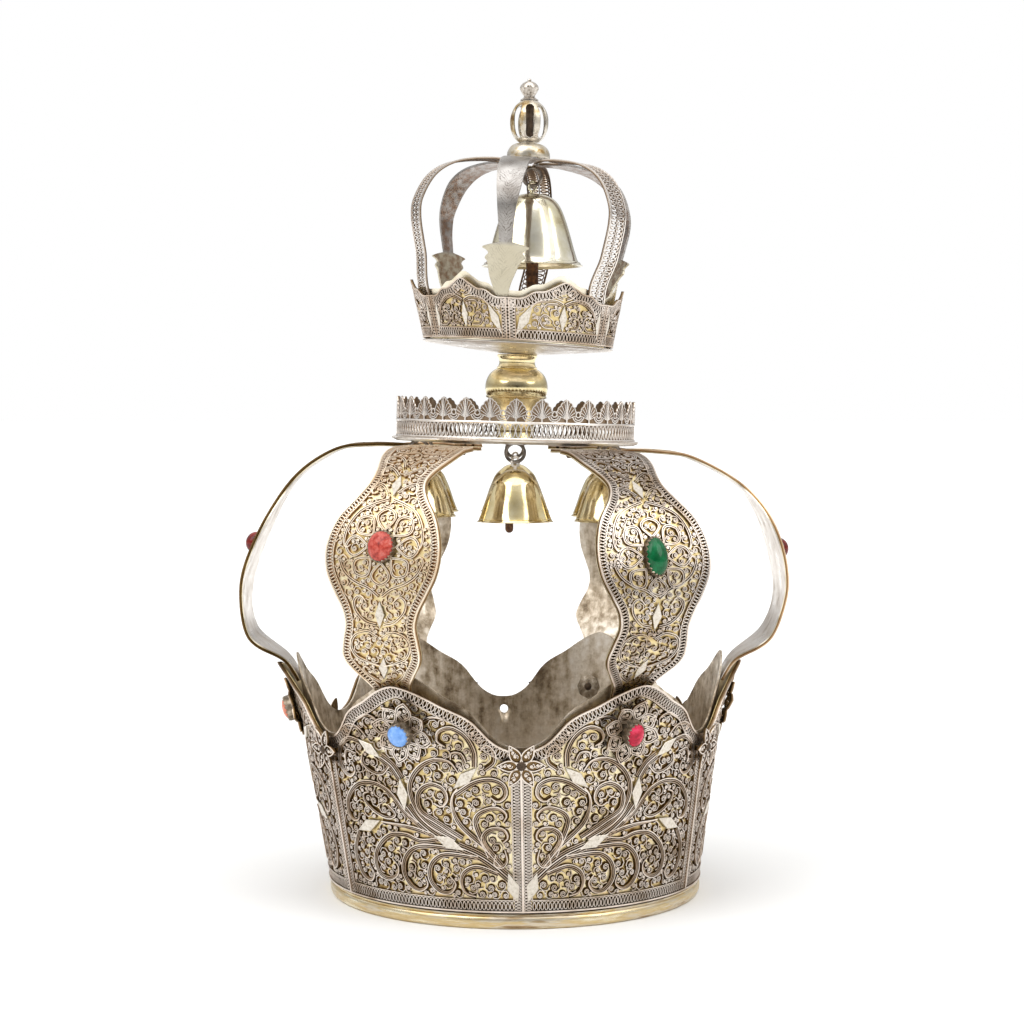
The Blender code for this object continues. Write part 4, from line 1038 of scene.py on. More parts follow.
def lining_point(azimuth, share, outside):
    place = (azimuth - CORONET_TURN) / SIDE_ANGLE
    seam = round(place)
    drop = SEAM_DROPS[seam % SIDES]
    fall = (LINING_LOBE + drop) * (1.0 - float(np.interp(2.0 * abs(place - seam), *lobe_edge)))
    height = PANEL_FOOT + (LINING_VALLEY + LINING_LOBE - fall - PANEL_FOOT) * share
    depth = LINING_DEPTH if outside else LINING_DEPTH + LINING_THICKNESS
    return leaning(azimuth, height, PANEL_RADIUS + WALL_SLOPE * height - depth)


# Tarnished sheet silver: large brown and grey clouds, a finer mottle of spots, upright
# wiping streaks, and a softer sheen where the brown is thick.
tarnished, tree, shader = start_material("tarnished_sheet_silver", "#8A7C6C", 0.42, 1.0)
place = add_node(tree, "ShaderNodeTexCoord")
layers = []
for sizes, detail in (((34.0, 34.0, 34.0), 6.0), ((5.0, 5.0, 5.0), 5.0), ((7.0, 7.0, 60.0), 4.0)):
    sized = add_node(tree, "ShaderNodeMapping", {"Vector": place.outputs["Object"]},
                     {"Scale": [1000.0 / size for size in sizes]})
    layers.append(add_node(tree, "ShaderNodeTexNoise", {"Vector": sized.outputs["Vector"]},
                           {"Scale": 1.0, "Detail": detail, "Roughness": 0.65}))
mixed = add_node(tree, "ShaderNodeMath",
                 {0: layers[0].outputs["Fac"], 1: layers[1].outputs["Fac"]}, operation="ADD")
streaked = add_node(tree, "ShaderNodeMath", {0: mixed.outputs[0], 1: layers[2].outputs["Fac"]},
                    operation="ADD")
third = add_node(tree, "ShaderNodeMath", {0: streaked.outputs[0]}, {1: 1.0 / 3.0},
                 operation="MULTIPLY")
tones = add_node(tree, "ShaderNodeValToRGB", {"Fac": third.outputs[0]},
                 stops=((0.40, "#74634F"), (0.62, "#F6EFE4"), (0.46, "#AA9A84"),
                        (0.51, "#CBBDA9"), (0.56, "#E3D8C8")))
tree.links.new(tones.outputs["Color"], shader.inputs["Base Color"])
dull = add_node(tree, "ShaderNodeMapRange", {"Value": third.outputs[0]},
                {"From Min": 0.42, "From Max": 0.58, "To Min": 0.56, "To Max": 0.3})
tree.links.new(dull.outputs[0], shader.inputs["Roughness"])
dents = add_node(tree, "ShaderNodeBump", {"Height": layers[0].outputs["Fac"]},
                 {"Strength": 0.35, "Distance": 0.0012})
tree.links.new(dents.outputs[0], shader.inputs["Normal"])


def cut_away(piece, cutter):
    """Cut a bmesh's solid out of a finished piece."""
    cutter = new_piece("cutter", cutter, dark_iron)
    cut = piece.modifiers.new("cut", "BOOLEAN")
    cut.operation = "DIFFERENCE"
    cut.solver = "EXACT"
    cut.object = cutter
    graph = bpy.context.evaluated_depsgraph_get()
    left = bpy.data.meshes.new_from_object(piece.evaluated_get(graph))
    piece.modifiers.clear()
    piece.data = left
    bpy.data.objects.remove(cutter)


def bore(piece, matrix, radius, depth):
    """Drill a round hole through a finished piece along its frame's own Z."""
    drill = bmesh.new()
    bmesh.ops.create_cone(drill, cap_ends=True, segments=24, radius1=radius * MM,
                          radius2=radius * MM, depth=depth * MM, matrix=matrix)
    cut_away(piece, drill)


lining = fit("coronet_lining_sheet", ring_wall(240, 10, lining_point), tarnished,
             "coronet_lining")
for sheet in (lining, bpy.data.objects[f"coronet_sheet_{BARE_SEAM + 1}"],
              bpy.data.objects[f"coronet_sheet_{BARE_SEAM + 2}"]):
    bore(sheet, seam_frame(BARE_SEAM, BOLT_HOLE_HEIGHT, 0.0), BOLT_HOLE_RADIUS, BOLT_HOLE_DEPTH)

# ---------------------------------------------------------------------------
# Arches: six scalloped straps, filigree on a gilt sheet with a silver sheet behind,
# bent in an S from their bolt under the platform down to the coronet's lobes.
ARCH_PATH = (
    (44.0, 205.7), (66.0, 205.8), (82.6, 202.9), (102.5, 189.7), (115.7, 169.0), (124.8, 141.5),
    (118.6, 119.0), (105.2, 107.2), (100.6, 101.0), (98.5, 97.0),
)
ARCH_LENGTH = 172.0
# How far each arch bows out at four middle points of that path, and the azimuths in
# degrees of its bolt and of its foot.
ARCH_BENDS = (
    (0.0, -3.0, -9.0, -7.2), (0.0, -2.3, -6.5, -5.2), (2.0, 2.6, -0.4, 1.4),
    (0.0, -1.8, -5.0, -4.0), (0.0, -2.5, -7.0, -5.6), (0.0, 0.2, 0.6, 2.2),
)
ARCH_ENDS = (
    (-29.5, -29.5), (30.5, 30.5), (90.5, 90.5), (149.2, 152.9), (210.5, 210.0), (270.5, 270.5),
)
# Half width of the strap at each distance down from its upper end.
ARCH_SCALLOPS = (
    (0, 8.0), (12, 8.4), (23, 16.6), (33, 18.6), (44, 18.3), (58, 14.4), (65, 14.2), (72, 17.4),
    (81, 23.8), (90, 27.4), (99, 28.6), (108, 27.2), (117, 23.0), (124, 19.3), (131, 17.7),
    (138, 18.9), (145, 19.7), (150, 18.2), (156, 14.2), (163, 9.9), (172, 8.4),
)
ARCH_THICKNESS = 1.8
ARCH_INSET = 0.35           # keeps the smooth strap inside the flat facets of its solid
# Distance of each stone down the strap, and its half width, half height and rise.
ARCH_STONE_AT = (95.5, 99.4, 101.0, 98.0, 98.0, 96.6)
ARCH_STONES = (
    (6.1, 6.4, 3.5), (5.0, 8.0, 3.7), (4.8, 4.9, 4.3), (5.2, 6.4, 3.7), (5.0, 7.0, 3.7),
    (4.8, 4.9, 4.3),
)
# Heights between which an arch leaves the coronet's lean, and takes up the platform's.
FOOT_FREE = (107.3, 142.3)
TOP_HELD = (175.0, 205.0)
PLATFORM_LEAN = math.radians(1.5)
ARCH_SHEETS = (0.3, 0.55)   # tops of the silver and of the gilt sheet
ARCH_BORDER = 4.4
ARCH_RIM_IN = 0.75          # from the strap's edge to the middle of its rim wire
ARCH_COIL_IN = 2.6
ARCH_WAVES = (3.0, 1.75)    # pitch and reach
ARCH_TURN = (0.5, 0.85)     # share of the length over which a strap turns from bolt to foot
PETAL_GAP = 0.6             # between the stone and the foot of a petal
PETAL_INNER = 0.8           # from a petal's outline in to its second wire
ARCH_FIELD = ((-22.5, -170.0), (22.5, -2.0))
ARCH_SNAIL_SIZES = (1.9, 1.7, 1.5, 1.3, 1.1, 0.95, 0.85)


def eased(value, start, end):
    """Rise smoothly from 0 at the start to 1 at the end."""
    share = np.clip((value - start) / (end - start), 0.0, 1.0)
    return share * share * (3.0 - 2.0 * share)


def crossed_waves(path, pitch, reach):
    """Two waves of wire along a path that cross twice in each pitch, as a row of eyes."""
    middle, sideways, angle = swung(path, pitch, 8, 0.0)
    return [middle + sideways * (hand * reach * np.sin(angle)) for hand in (1, -1)]


def both_sides(*wires):
    """Each flat wire, and its mirror image."""
    return [wire * (side, 1.0) for wire in wires for side in (1.0, -1.0)]


def on_strap(route, length, azimuth_at, thickness, inset, bend_point):
    """Where ornament lands on a strap: across it, down from its top and up from its inner face."""
    line = rounded(route, 1.0)
    share = np.linspace(0.0, 1.0, len(line))
    ahead = np.gradient(line, axis=0)
    ahead /= np.linalg.norm(ahead, axis=1)[:, None]

    def place(u, v, h):
        at = -v / length
        out, up = (np.interp(at, share, line[:, axis]) for axis in (0, 1))
        along_out, along_up = (np.interp(at, share, ahead[:, axis]) for axis in (0, 1))
        depth = thickness + inset - h
        radius, height = out + along_up * depth, up - along_out * depth
        azimuth = azimuth_at(at)
        return bend_point(radius * np.sin(azimuth) + u * np.cos(azimuth),
                          -radius * np.cos(azimuth) + u * np.sin(azimuth), height)
    return place


def with_lean(x, y, z):
    """Make an arch follow the leaning coronet at its foot and the leaning platform at its top."""
    foot = 1.0 - eased(z, *FOOT_FREE)
    top = eased(z, *TOP_HELD)
    return x - WALL_LEAN * z * foot, y, z - x * math.tan(PLATFORM_LEAN) * top


def on_arch(index):
    bends = (0.0, 0.0, 0.0, *ARCH_BENDS[index], 0.0, 0.0, 0.0)
    route = [(radius + bend, height) for (radius, height), bend in zip(ARCH_PATH, bends)]
    top, foot = (math.radians(end) for end in ARCH_ENDS[index])
    return on_strap(route, ARCH_LENGTH, lambda at: top + (foot - top) * eased(at, *ARCH_TURN),
                    ARCH_THICKNESS, ARCH_INSET, with_lean)


# Half of an arch's ornament as it lies flat: distance to one side of the middle line
# and distance down from the upper end. Each scroll starts at the middle line.
ARCH_SCROLLS = (
    ((1, 73), (8, 75.5), (14.5, 79.5), (18.5, 86), (19.8, 92.5), (18, 96.5), (15.8, 95)),
    ((1, 60), (5, 56), (9, 54), (11, 57.5), (9, 60.5), (6.5, 59)),
    ((2, 70), (6, 66), (10, 65), (11.8, 68), (10, 71), (7.5, 70)),
    ((1, 54), (4, 48), (9, 44.5), (13, 46), (13.5, 50), (10, 52), (8, 49.5)),
    ((1, 41), (5, 42), (11, 41.5), (13.5, 38), (11.5, 35), (8, 36.5)),
    ((1, 38), (4, 31), (9, 27), (13, 28.5), (13, 32), (9.5, 33)),
    ((1, 25), (4, 20), (7, 22), (7, 26)),
    ((1, 118), (6, 114.5), (12.5, 112), (18, 108), (21, 102), (19, 99.5), (16.8, 101.5)),
    ((2, 131), (7.5, 129.5), (12.4, 124.5), (13, 119.5), (9.5, 117.5), (6.5, 120.5)),
    ((1, 136), (6, 133.5), (12.5, 135.5), (15, 140.5), (12.8, 146), (7, 149), (1, 150.5)),
    ((4, 160), (8, 157), (10.5, 153.5), (9, 151), (6.5, 152.5)),
    ((1, 163), (3.5, 161), (4.5, 164), (3, 167)),
)
# Distance down, half length, half width and slant in degrees of each lozenge, and the
# direction, reach and half width of each petal round the stone.
ARCH_LOZENGES = ((66.0, 6.0, 2.3, 4.0), (126.0, 6.4, 2.3, 0.0), (152.0, 6.2, 2.2, -12.0))
ARCH_PETALS = ((0.0, 18.0, 4.9), (45.0, 18.5, 4.9), (90.0, 18.5, 4.8), (135.0, 18.0, 4.8),
               (180.0, 17.5, 4.8))

# Gilt wire: pale gold on the rubbed edge over brown-gold sides; the pale edge is also painted light and
# the brown towards the foot painted shade.
wire_gilt = wire_metal("gilt_wire_wear_and_shade", "#CDB183", 0.48, 17.0, (-0.2, 0.1),
                       ((0.0, "#6A4A2E"), (1.0, "#FBEEDA"), (0.4, "#AE8860"), (0.8, "#E6CBA8")))
# Silver sheet with a light tarnish: warm white where hands rub it, grey-brown in clouds
# and in fine scratches.
worn_silver = clouded("worn_sheet_silver", "#CFC8BF", 0.32, 9.0,
                      ((0.3, "#F6F0EA"), (0.78, "#A09080"), (0.6, "#DED5CB")), detail=5.0, grain=0.65,
                      matt=(0.24, 0.46), dents=(0.4, 0.5))

scallop_line = rounded(ARCH_SCALLOPS, 1.0).T
edge_at = np.linspace(0.0, ARCH_LENGTH, 174)
right_edge = np.column_stack((np.interp(edge_at, *scallop_line), -edge_at))
arch_rims = both_sides(beside(right_edge, -ARCH_RIM_IN))
arch_edges = both_sides(beside(right_edge, -ARCH_BORDER))
right_middle = beside(right_edge, -ARCH_COIL_IN)
arch_coils = both_sides(*crossed_waves(right_middle, *ARCH_WAVES))
arch_bands = scroll_bands([[(u, -at) for u, at in points] for points in ARCH_SCROLLS], 2, 0.85, 8.0)
arch_outer = both_sides(*(band[0] for band in arch_bands))
arch_inner = both_sides(*inner_wires_of(arch_bands))


def in_arch_field(u, v):
    upright = [(0.0, -at, *sizes, 90.0) for at, *sizes, _ in ARCH_LOZENGES]
    return ((np.abs(u) < np.interp(-v, *scallop_line) - ARCH_BORDER)
            & (v < -1.5) & (v > -ARCH_LENGTH + 1.5) & off_lozenges(u, v, upright))


def arch_lozenges(make, *numbers):
    """Make something of each lozenge of an arch as it lies flat."""
    return [make(0.0, -at, half_length, half_width, 90.0 + degrees, *numbers)
            for at, half_length, half_width, degrees in ARCH_LOZENGES]


def arch_petals(stone_width, stone_height, stone_at):
    """The double outlines of the petals that stand round an arch's stone."""
    petals = []
    for degrees, reach, width in ARCH_PETALS:
        for side in (1, -1) if 0.0 < degrees < 180.0 else (1,):
            angle = side * math.radians(degrees)
            start = PETAL_GAP + math.hypot(stone_width * math.sin(angle),
                                           stone_height * math.cos(angle))
            for shrink in (0.0, PETAL_INNER):
                line = petal_line(angle, start + shrink, reach - shrink, width - shrink, 1.4, 14, 0.7)
                petals.append(line - (0.0, stone_at))
    return petals


def arch_outline(x, y):
    """Carry a grid from -1 to 1 on to the flat outline of an arch."""
    at = (1.0 - y) / 2.0 * ARCH_LENGTH
    return x * (float(np.interp(at, *scallop_line)) - 0.15), -at


# Gilt and silver wire take turns round the crown, and the arch at the left is the most worn.
arch_draw = random.Random(23)
low = ARCH_SHEETS[1] - 0.05
for index in range(SIDES):
    stone_width, stone_height, _ = ARCH_STONES[index]
    stone_at = ARCH_STONE_AT[index]
    petals = arch_petals(stone_width, stone_height, stone_at)
    clear = arch_outer + arch_inner + arch_edges + petals + arch_lozenges(lozenge_line)
    clear.append(oval(-stone_at, stone_width + 0.9, stone_height + 0.9))

    def in_field(u, v):
        off_stone = np.hypot(u / (stone_width + 1.0), (v + stone_at) / (stone_height + 1.0)) > 1.0
        return in_arch_field(u, v) & off_stone

    snails = pack_snails(ARCH_FIELD, in_field, clear, ARCH_SNAIL_SIZES, arch_draw)
    gilt = index % 2 == 0
    filigree = wirework(
        (snails, FINE_WIRE, 1.6, low, 1.0), (arch_inner, 0.4, 1.7, low, 1.0),
        (arch_outer + petals, 0.5, 1.78, low, 1.0), (arch_coils, 0.38, 1.65, low, 1.0),
        # A wide low strip under each coil border is a dark sheet that paints the shade and dirt between
        # its wires.
        (both_sides(right_middle), 3.2, low + SHADE_AND_DIRT_RISE, low, 0.5 if gilt else 0.3),
        (arch_edges, 0.4, 1.7, low, 1.0),
        (arch_rims, RIM_WIRE, ARCH_THICKNESS, low, 0.45 if index == SIDES - 1 else 1.0))
    fit(f"arch_filigree_{index + 1}", bend(filigree, on_arch(index)),
        wire_gilt if gilt else wire_silver)
    silver_sheet = backing_sheet(6, 150, arch_outline, ARCH_SHEETS[0])
    fit(f"arch_inner_sheet_{index + 1}", bend(silver_sheet, on_arch(index)),
        worn_silver if index in (2, 5) else tarnished, f"arch_{index + 1}")
    sheet = backing_sheet(6, 150, arch_outline, ARCH_SHEETS[1] - ARCH_SHEETS[0] - 0.02)
    sheet.transform(Matrix.Translation((0.0, 0.0, ARCH_SHEETS[0] + 0.02)))
    fit(f"arch_gilt_sheet_{index + 1}", bend(sheet, on_arch(index)), gilt_sheet)
    plates = joined(arch_lozenges(lozenge, 1.1, 1.75))
    fit(f"arch_lozenges_{index + 1}", bend(plates, on_arch(index)), cut_silver)

# ---------------------------------------------------------------------------
# Arch stones: one cabochon in the middle of each arch, in a low plain collet.
arch_surfaces = (red_coral, leaf_glass, garnet, blue_glass, red_coral, garnet)
for index, (half_width, half_height, rise) in enumerate(ARCH_STONES):
    spot, above, out = (Vector(on_arch(index)(0.0, up - ARCH_STONE_AT[index], ARCH_THICKNESS + h))
                        for up, h in ((0.0, 0.0), (1.0, 0.0), (0.0, 1.0)))
    normal = (out - spot).normalized()
    side = (above - spot).cross(normal).normalized()
    upright = normal.cross(side)
    seat = Matrix((side, upright, normal)).transposed().to_4x4()
    seat.translation = spot * MM
    stone = cabochon(half_width, half_height, rise, 0.9)
    node = f"arch_stone_{index + 1}"
    fit(f"arch_cabochon_{index + 1}", stone, arch_surfaces[index], node, seat)
    grip = collet(half_width + 0.05, half_height + 0.05, -1.0, 1.5, 22, 0.09)
    fit(f"arch_collet_{index + 1}", grip, dull_silver, at=seat)

# ---------------------------------------------------------------------------
# Platform: a turned disc of silver with a flared lip, which the arches are bolted to
# from below. It leans a little to the right, and so does all that stands on it.
PLATFORM_HEIGHT = 206.8
PLATFORM_THICKNESS = 2.0
BOLT_ORBIT = 50.0
BOLT_SEAT = 203.9               # height of the arches' underside at the bolts
platform_frame = (Matrix.Translation((0, 0, PLATFORM_HEIGHT * MM))
                  @ Matrix.Rotation(PLATFORM_LEAN, 4, "Y"))

disc_line = [(52.8, 1.6), (55.2, 1.7), (56.4, 2.0), (57.0, 1.75), (56.9, 1.2), (56.2, 0.75),
             (55.4, 0.5), (54.6, 0.05), (30.0, 0.0)]
disc = turned(disc_line, 144)
fit("platform_disc", disc, worn_silver, "platform", at=platform_frame)

# Bolts under the ends of the arches: a washer of gilt brass and a square iron nut.
for index in range(SIDES):
    azimuth = math.radians(ARCH_ENDS[index][0])
    middle = Vector(with_lean(BOLT_ORBIT * math.sin(azimuth), -BOLT_ORBIT * math.cos(azimuth),
                              BOLT_SEAT)) * MM
    stand = Matrix.Translation(middle) @ Matrix.Rotation(azimuth, 4, "Z")
    washer = turned([(4.1, -0.1), (4.2, -0.5), (3.9, -0.9)], 24)
    fit(f"arch_washer_{index + 1}", washer, ring_gilt, at=stand)
    nut = bmesh.new()
    bmesh.ops.create_cone(nut, cap_ends=True, segments=4, radius1=3.0 * MM, radius2=3.6 * MM,
                          depth=1.6 * MM, matrix=stand @ Matrix.Translation((0, 0, -1.7 * MM)))
    bmesh.ops.bevel(nut, geom=nut.edges[:], offset=0.3 * MM, affect="EDGES", segments=2, profile=0.5,
                    material=-1)
    fit(f"arch_nut_{index + 1}", nut, dark_iron)

# ---------------------------------------------------------------------------
# Gallery: an openwork wall on the platform. Crossed loops of wire stand between two
# rings, and thirty fluted palmettes with eyelets between their feet crown it.
GALLERY_RADIUS = 55.0
GALLERY_THICKNESS = 1.2
PALMETTES = 30
PALMETTE_PITCH = math.tau * GALLERY_RADIUS / PALMETTES
LATTICE_MIDDLE = 6.0
LATTICE_PITCH = 4.8
LATTICE_REACH = 3.1
PALMETTE_LINE = (
    (0.0, 20.1), (0.9, 19.7), (1.3, 19.0), (2.1, 18.8), (2.7, 18.1), (2.9, 17.3), (3.7, 16.9),
    (4.2, 16.1), (4.2, 15.4), (4.9, 14.9), (5.2, 14.1), (4.9, 13.4), (5.2, 12.8), (4.6, 11.6),
    (4.0, 10.4), (4.6, 9.7),
)
PALMETTE_RIBS = ((1.1, 18.7), (2.4, 17.5), (3.6, 16.2), (4.5, 14.8), (4.7, 13.2))
HOOPS = (("gallery_foot_ring", 2.1, 2.9), ("gallery_middle_ring", 9.0, 10.1))

# Cleaner silver wire: pale and faintly pink on the rubbed face, brown in between, and like the other
# wire painted lighter on top and shaded towards its foot.
wire_bright = wire_metal("clean_silver_wire", "#CFC6BA", 0.34, 14.0, (-0.12, 0.12),
                         ((0.0, "#564230"), (1.0, "#F4ECE4"), (0.3, "#8A745C"), (0.7, "#CFC1B2")))


def on_gallery(u, v, h):
    """Where ornament lands on the gallery, round it from the front and up from the platform."""
    radius = GALLERY_RADIUS - GALLERY_THICKNESS + h
    azimuth = u / GALLERY_RADIUS
    return on_frame(platform_frame)(radius * np.sin(azimuth), -radius * np.cos(azimuth), v)


half_way = math.pi * GALLERY_RADIUS
lattice = crossed_waves(straight((-half_way, LATTICE_MIDDLE), (half_way, LATTICE_MIDDLE)),
                        LATTICE_PITCH, LATTICE_REACH)
ring_angle = np.linspace(0.0, math.tau, 13)
bowl_angle = np.linspace(math.radians(196), math.radians(344), 10)
# An eyelet and the two bowls under it: its arc, half width, half height and middle's height.
EYELETS = ((ring_angle, 1.15, 1.2, 13.7), (bowl_angle, 2.9, 3.0, 13.4), (bowl_angle, 1.8, 1.7, 13.0))
ribs, stalks, eyelets, outlines, leaves = [], [], [], [], []
for count in range(PALMETTES):
    middle = (count - PALMETTES / 2) * PALMETTE_PITCH
    right = np.array(PALMETTE_LINE)
    outline = np.vstack((right, (right * (-1.0, 1.0))[:0:-1])) + (middle, 0.0)
    outlines.append(np.vstack((outline[-10:], outline[:11])))
    leaves.append(flat_plate(outline, 0.3, 0.7, 0.32))
    ribs += [rounded(((middle + side * 0.3, 11.6), (middle + side * u * 0.55, v * 0.62 + 4.4),
                      (middle + side * u, v)), 1.2) for side in (-1, 1) for u, v in PALMETTE_RIBS]
    stalks.append(straight((middle, 9.7), (middle, 20.0), spacing=3.0))
    eyelets += [np.column_stack((middle + PALMETTE_PITCH / 2 + width * np.cos(arc),
                                 height + rise * np.sin(arc)))
                for arc, width, rise, height in EYELETS]
railing = wirework((lattice, 0.55, 1.05, 0.15, 1.0), (ribs, FINE_WIRE, 1.0, 0.4, 1.0),
                   (outlines, 0.5, 1.1, 0.4, 1.1), (stalks, 0.95, 1.2, 0.4, 1.0),
                   (eyelets, 0.6, 1.15, 0.2, 1.15))
fit("gallery_openwork", bend(railing, on_gallery), wire_bright, "gallery")
fit("gallery_palmettes", bend(joined(leaves), on_gallery), wire_bright)
for name, low, high in HOOPS:
    line = [(53.9, low), (55.0, low), (55.25, (low + high) / 2), (55.0, high), (53.9, high)]
    fit(name, turned(line, 144, True), worn_silver, at=platform_frame)

# ---------------------------------------------------------------------------
# Bells under the platform: six thin cast bells of polished gilt silver, each hooked by
# a loop of wire on to a dark silver ring, with a rusty rod for a clapper.
BELL_ORBIT = 50.0
BELL_DROP = 33.8
BELL_HEIGHT = 23.0
BELL_MOUTH = 16.8
BELL_WALL = 1.0
BELL_SHAPE = (
    (0.10, 0.995), (0.25, 0.965), (0.38, 0.90), (0.55, 0.78), (0.65, 0.64), (0.75, 0.46), (0.84, 0.26),
    (0.92, 0.10), (0.945, 0.06),
)
HANGER_RADIUS = 4.1
HANGER_WIRE = 0.8
CLAPPER_SHIFT = -2.6


def bell_shell(shape, mouth, height, steps):
    """A hollow bell with a ridge above its flared lip, mouth down at height 0."""
    outer = rounded([(share * mouth, up * height) for share, up in shape], 0.8)
    lip = [(mouth * 0.935, height * 0.045), (mouth * 0.95, height * 0.045),
           (mouth * 0.965, height * 0.02), (mouth, 0.1), (mouth, 0.0)]
    inner = [(radius - BELL_WALL, up - BELL_WALL * 0.6)
             for radius, up in outer[::-2] if radius > BELL_WALL * 2.0]
    return turned([*outer, *lip, *inner], steps)


def round_wire(points, radius, closed=False):
    """A round wire bent through points in mm, as a mesh in metres."""
    curve = bpy.data.curves.new("round_wire", "CURVE")
    curve.dimensions = "3D"
    curve.bevel_depth = radius * MM
    curve.bevel_resolution = 3
    curve.use_fill_caps = not closed
    line = curve.splines.new("POLY")
    line.points.add(len(points) - 1)
    for point, (x, y, z) in zip(line.points, points):
        point.co = (x * MM, y * MM, z * MM, 1.0)
    line.use_cyclic_u = closed
    mesh = mesh_of(curve)
    bm = bmesh.new()
    bm.from_mesh(mesh)
    bpy.data.meshes.remove(mesh)
    bmesh.ops.remove_doubles(bm, verts=bm.verts, dist=0.001 * MM)
    bmesh.ops.recalc_face_normals(bm, faces=bm.faces)
    return bm


def hang(name, place_mm, reach, height, hook_surface):
    """The ring and the drop-shaped wire hook that a bell hangs by. The place is its mouth's middle."""
    at = Matrix.Translation(Vector(place_mm) * MM)
    middle = reach - HANGER_RADIUS - HANGER_WIRE
    turns = [step * math.tau / 28 for step in range(28)]
    ring = round_wire([(HANGER_RADIUS * math.sin(angle), 0.0, middle + HANGER_RADIUS * math.cos(angle))
                       for angle in turns], HANGER_WIRE, True)
    eye = middle - HANGER_RADIUS
    drop = rounded([(0.0, 0.0, height - 0.8), (0.45, 0.1, height + 1.2), (1.5, 0.2, eye - 1.4),
                    (1.5, 0.6, eye + 0.8), (0.6, 1.3, eye + 2.2), (-0.8, 1.1, eye + 1.6),
                    (-1.5, -0.4, eye + 0.2), (-1.2, -0.6, eye - 1.6), (-0.45, -0.2, height + 1.2),
                    (0.0, 0.0, height - 0.8)], 0.7)
    hook = round_wire([tuple(point) for point in drop], 0.55)
    fit(f"{name}_ring", ring, ring_silver, at=at)
    fit(f"{name}_hook", hook, hook_surface, at=at)


def clapper_rod(name, node, place_mm, top, bottom, radius):
    """A round-ended iron rod inside a bell."""
    ends = [step * math.pi / 12 for step in range(1, 7)]
    line = [(radius * math.sin(angle), top - radius + radius * math.cos(angle)) for angle in ends]
    line += [(radius * math.cos(angle), bottom + radius - radius * math.sin(angle))
             for angle in (0.0, *ends[:-1])]
    fit(name, turned(line, 20), rusty_iron, node,
        Matrix.Translation(Vector(place_mm) * MM))


# Polished fire gilding: deep clear gold with faint cloudy wiping marks.
polished_gilt = clouded("polished_fire_gilding", "#E4CB8C", 0.1, 8.3,
                        ((0.3, "#F2E5BE"), (0.75, "#BFA064"), (0.6, "#E4D09A")), matt=(0.07, 0.2),
                        dents=(0.08, 0.6))
# Rusted iron of the clappers: orange-brown bloom over dark metal, quite matt.
rusty_iron = clouded("rusted_iron", "#6E4A32", 0.75, 2.4,
                     ((0.3, "#3E2C22"), (0.75, "#B07A48"), (0.5, "#6E4E3A")),
                     metallic=0.35, detail=6.0, grain=0.7, dents=(0.6, 0.3))
# Dark tarnished silver wire of the hanging rings, with a clear gloss on the bend.
ring_silver = clouded("dark_ring_silver", "#6A6058", 0.3, 2.9, ((0.35, "#564D45"), (0.7, "#9A8F84")),
                      detail=3.0)

for index in range(SIDES):
    azimuth = index * SIDE_ANGLE
    eye = platform_frame @ (Vector((math.sin(azimuth), -math.cos(azimuth), 0.0)) * BELL_ORBIT * MM)
    mouth = tuple(eye / MM - Vector((0.0, 0.0, BELL_DROP)))
    name = f"bell_{index + 1}"
    fit(f"{name}_shell", bell_shell(BELL_SHAPE, BELL_MOUTH, BELL_HEIGHT, 72), polished_gilt,
        name, Matrix.Translation(Vector(mouth) * MM))
    # The top of the ring sits in a slot through the platform.
    hang(name, mouth, BELL_DROP + 1.4, BELL_HEIGHT, worn_silver)
    clapper_rod(f"bell_rod_{index + 1}", f"bell_clapper_{index + 1}",
                (mouth[0] + CLAPPER_SHIFT, mouth[1], mouth[2]), BELL_HEIGHT - 4.8, -5.0, 1.8)

# ---------------------------------------------------------------------------
# Stem: a spun vase of polished gilt silver, with a rounded foot, a ridge under its
# belly and another under its neck.
STEM_HEIGHT = 38.7
STEM_LOWER = ((9.3, 0.3), (8.5, 4.0), (9.4, 8.0), (11.6, 14.0), (13.0, 18.4))
STEM_BELLY = (
    (13.75, 19.6), (14.3, 22.0), (14.35, 24.5), (13.8, 27.0), (12.6, 29.4), (10.6, 31.3), (9.1, 32.2),
)
STEM_NECK = ((8.7, 33.2), (8.25, 34.6), (8.4, 36.4), (9.2, 37.8))
vase_line = [*rounded(STEM_LOWER, 0.8), (13.6, 18.7), (14.0, 18.9), (14.1, 19.2), (13.9, 19.45),
             *rounded(STEM_BELLY, 0.6), (9.3, 32.3), (9.4, 32.6), (9.2, 32.9),
             *rounded(STEM_NECK, 0.6), (9.3, 38.2), (9.0, STEM_HEIGHT)]
vase = turned([(radius, height + PLATFORM_THICKNESS) for radius, height in vase_line], 96)
fit("stem_vase", vase, polished_gilt, "stem", at=platform_frame)

# ---------------------------------------------------------------------------
# Small crown: a dished plate of silver on the stem, a lobed filigree band round its
# edge, and a plain gilt lining that stands a little higher inside the band.
UPPER_LEAN = math.radians(1.7)
UPPER_FOOT = PLATFORM_THICKNESS + STEM_HEIGHT + 0.3
upper_frame = (platform_frame @ Matrix.Translation((0, 0, UPPER_FOOT * MM))
               @ Matrix.Rotation(UPPER_LEAN, 4, "Y"))
PLATE_RADIUS = 43.8
BAND_FOOT = 5.0
BAND_SLOPE = 0.21
BAND_LEAN = 0.07
BAND_VALLEY = 23.6
BAND_LOBE = 7.8
BAND_THICKNESS = 1.3
BAND_LINING_RISE = 3.0
BAND_LINING_DEPTH = 3.5
BAND_LINING_THICKNESS = 0.7
BAND_HALF = 24.0            # half width of one lobe laid flat
# Azimuths in degrees of the six seams: hand work, so the lobes differ a little.
BAND_SEAMS = (-56.5, -5.7, 58.0, 119.0, 181.0, 242.0)
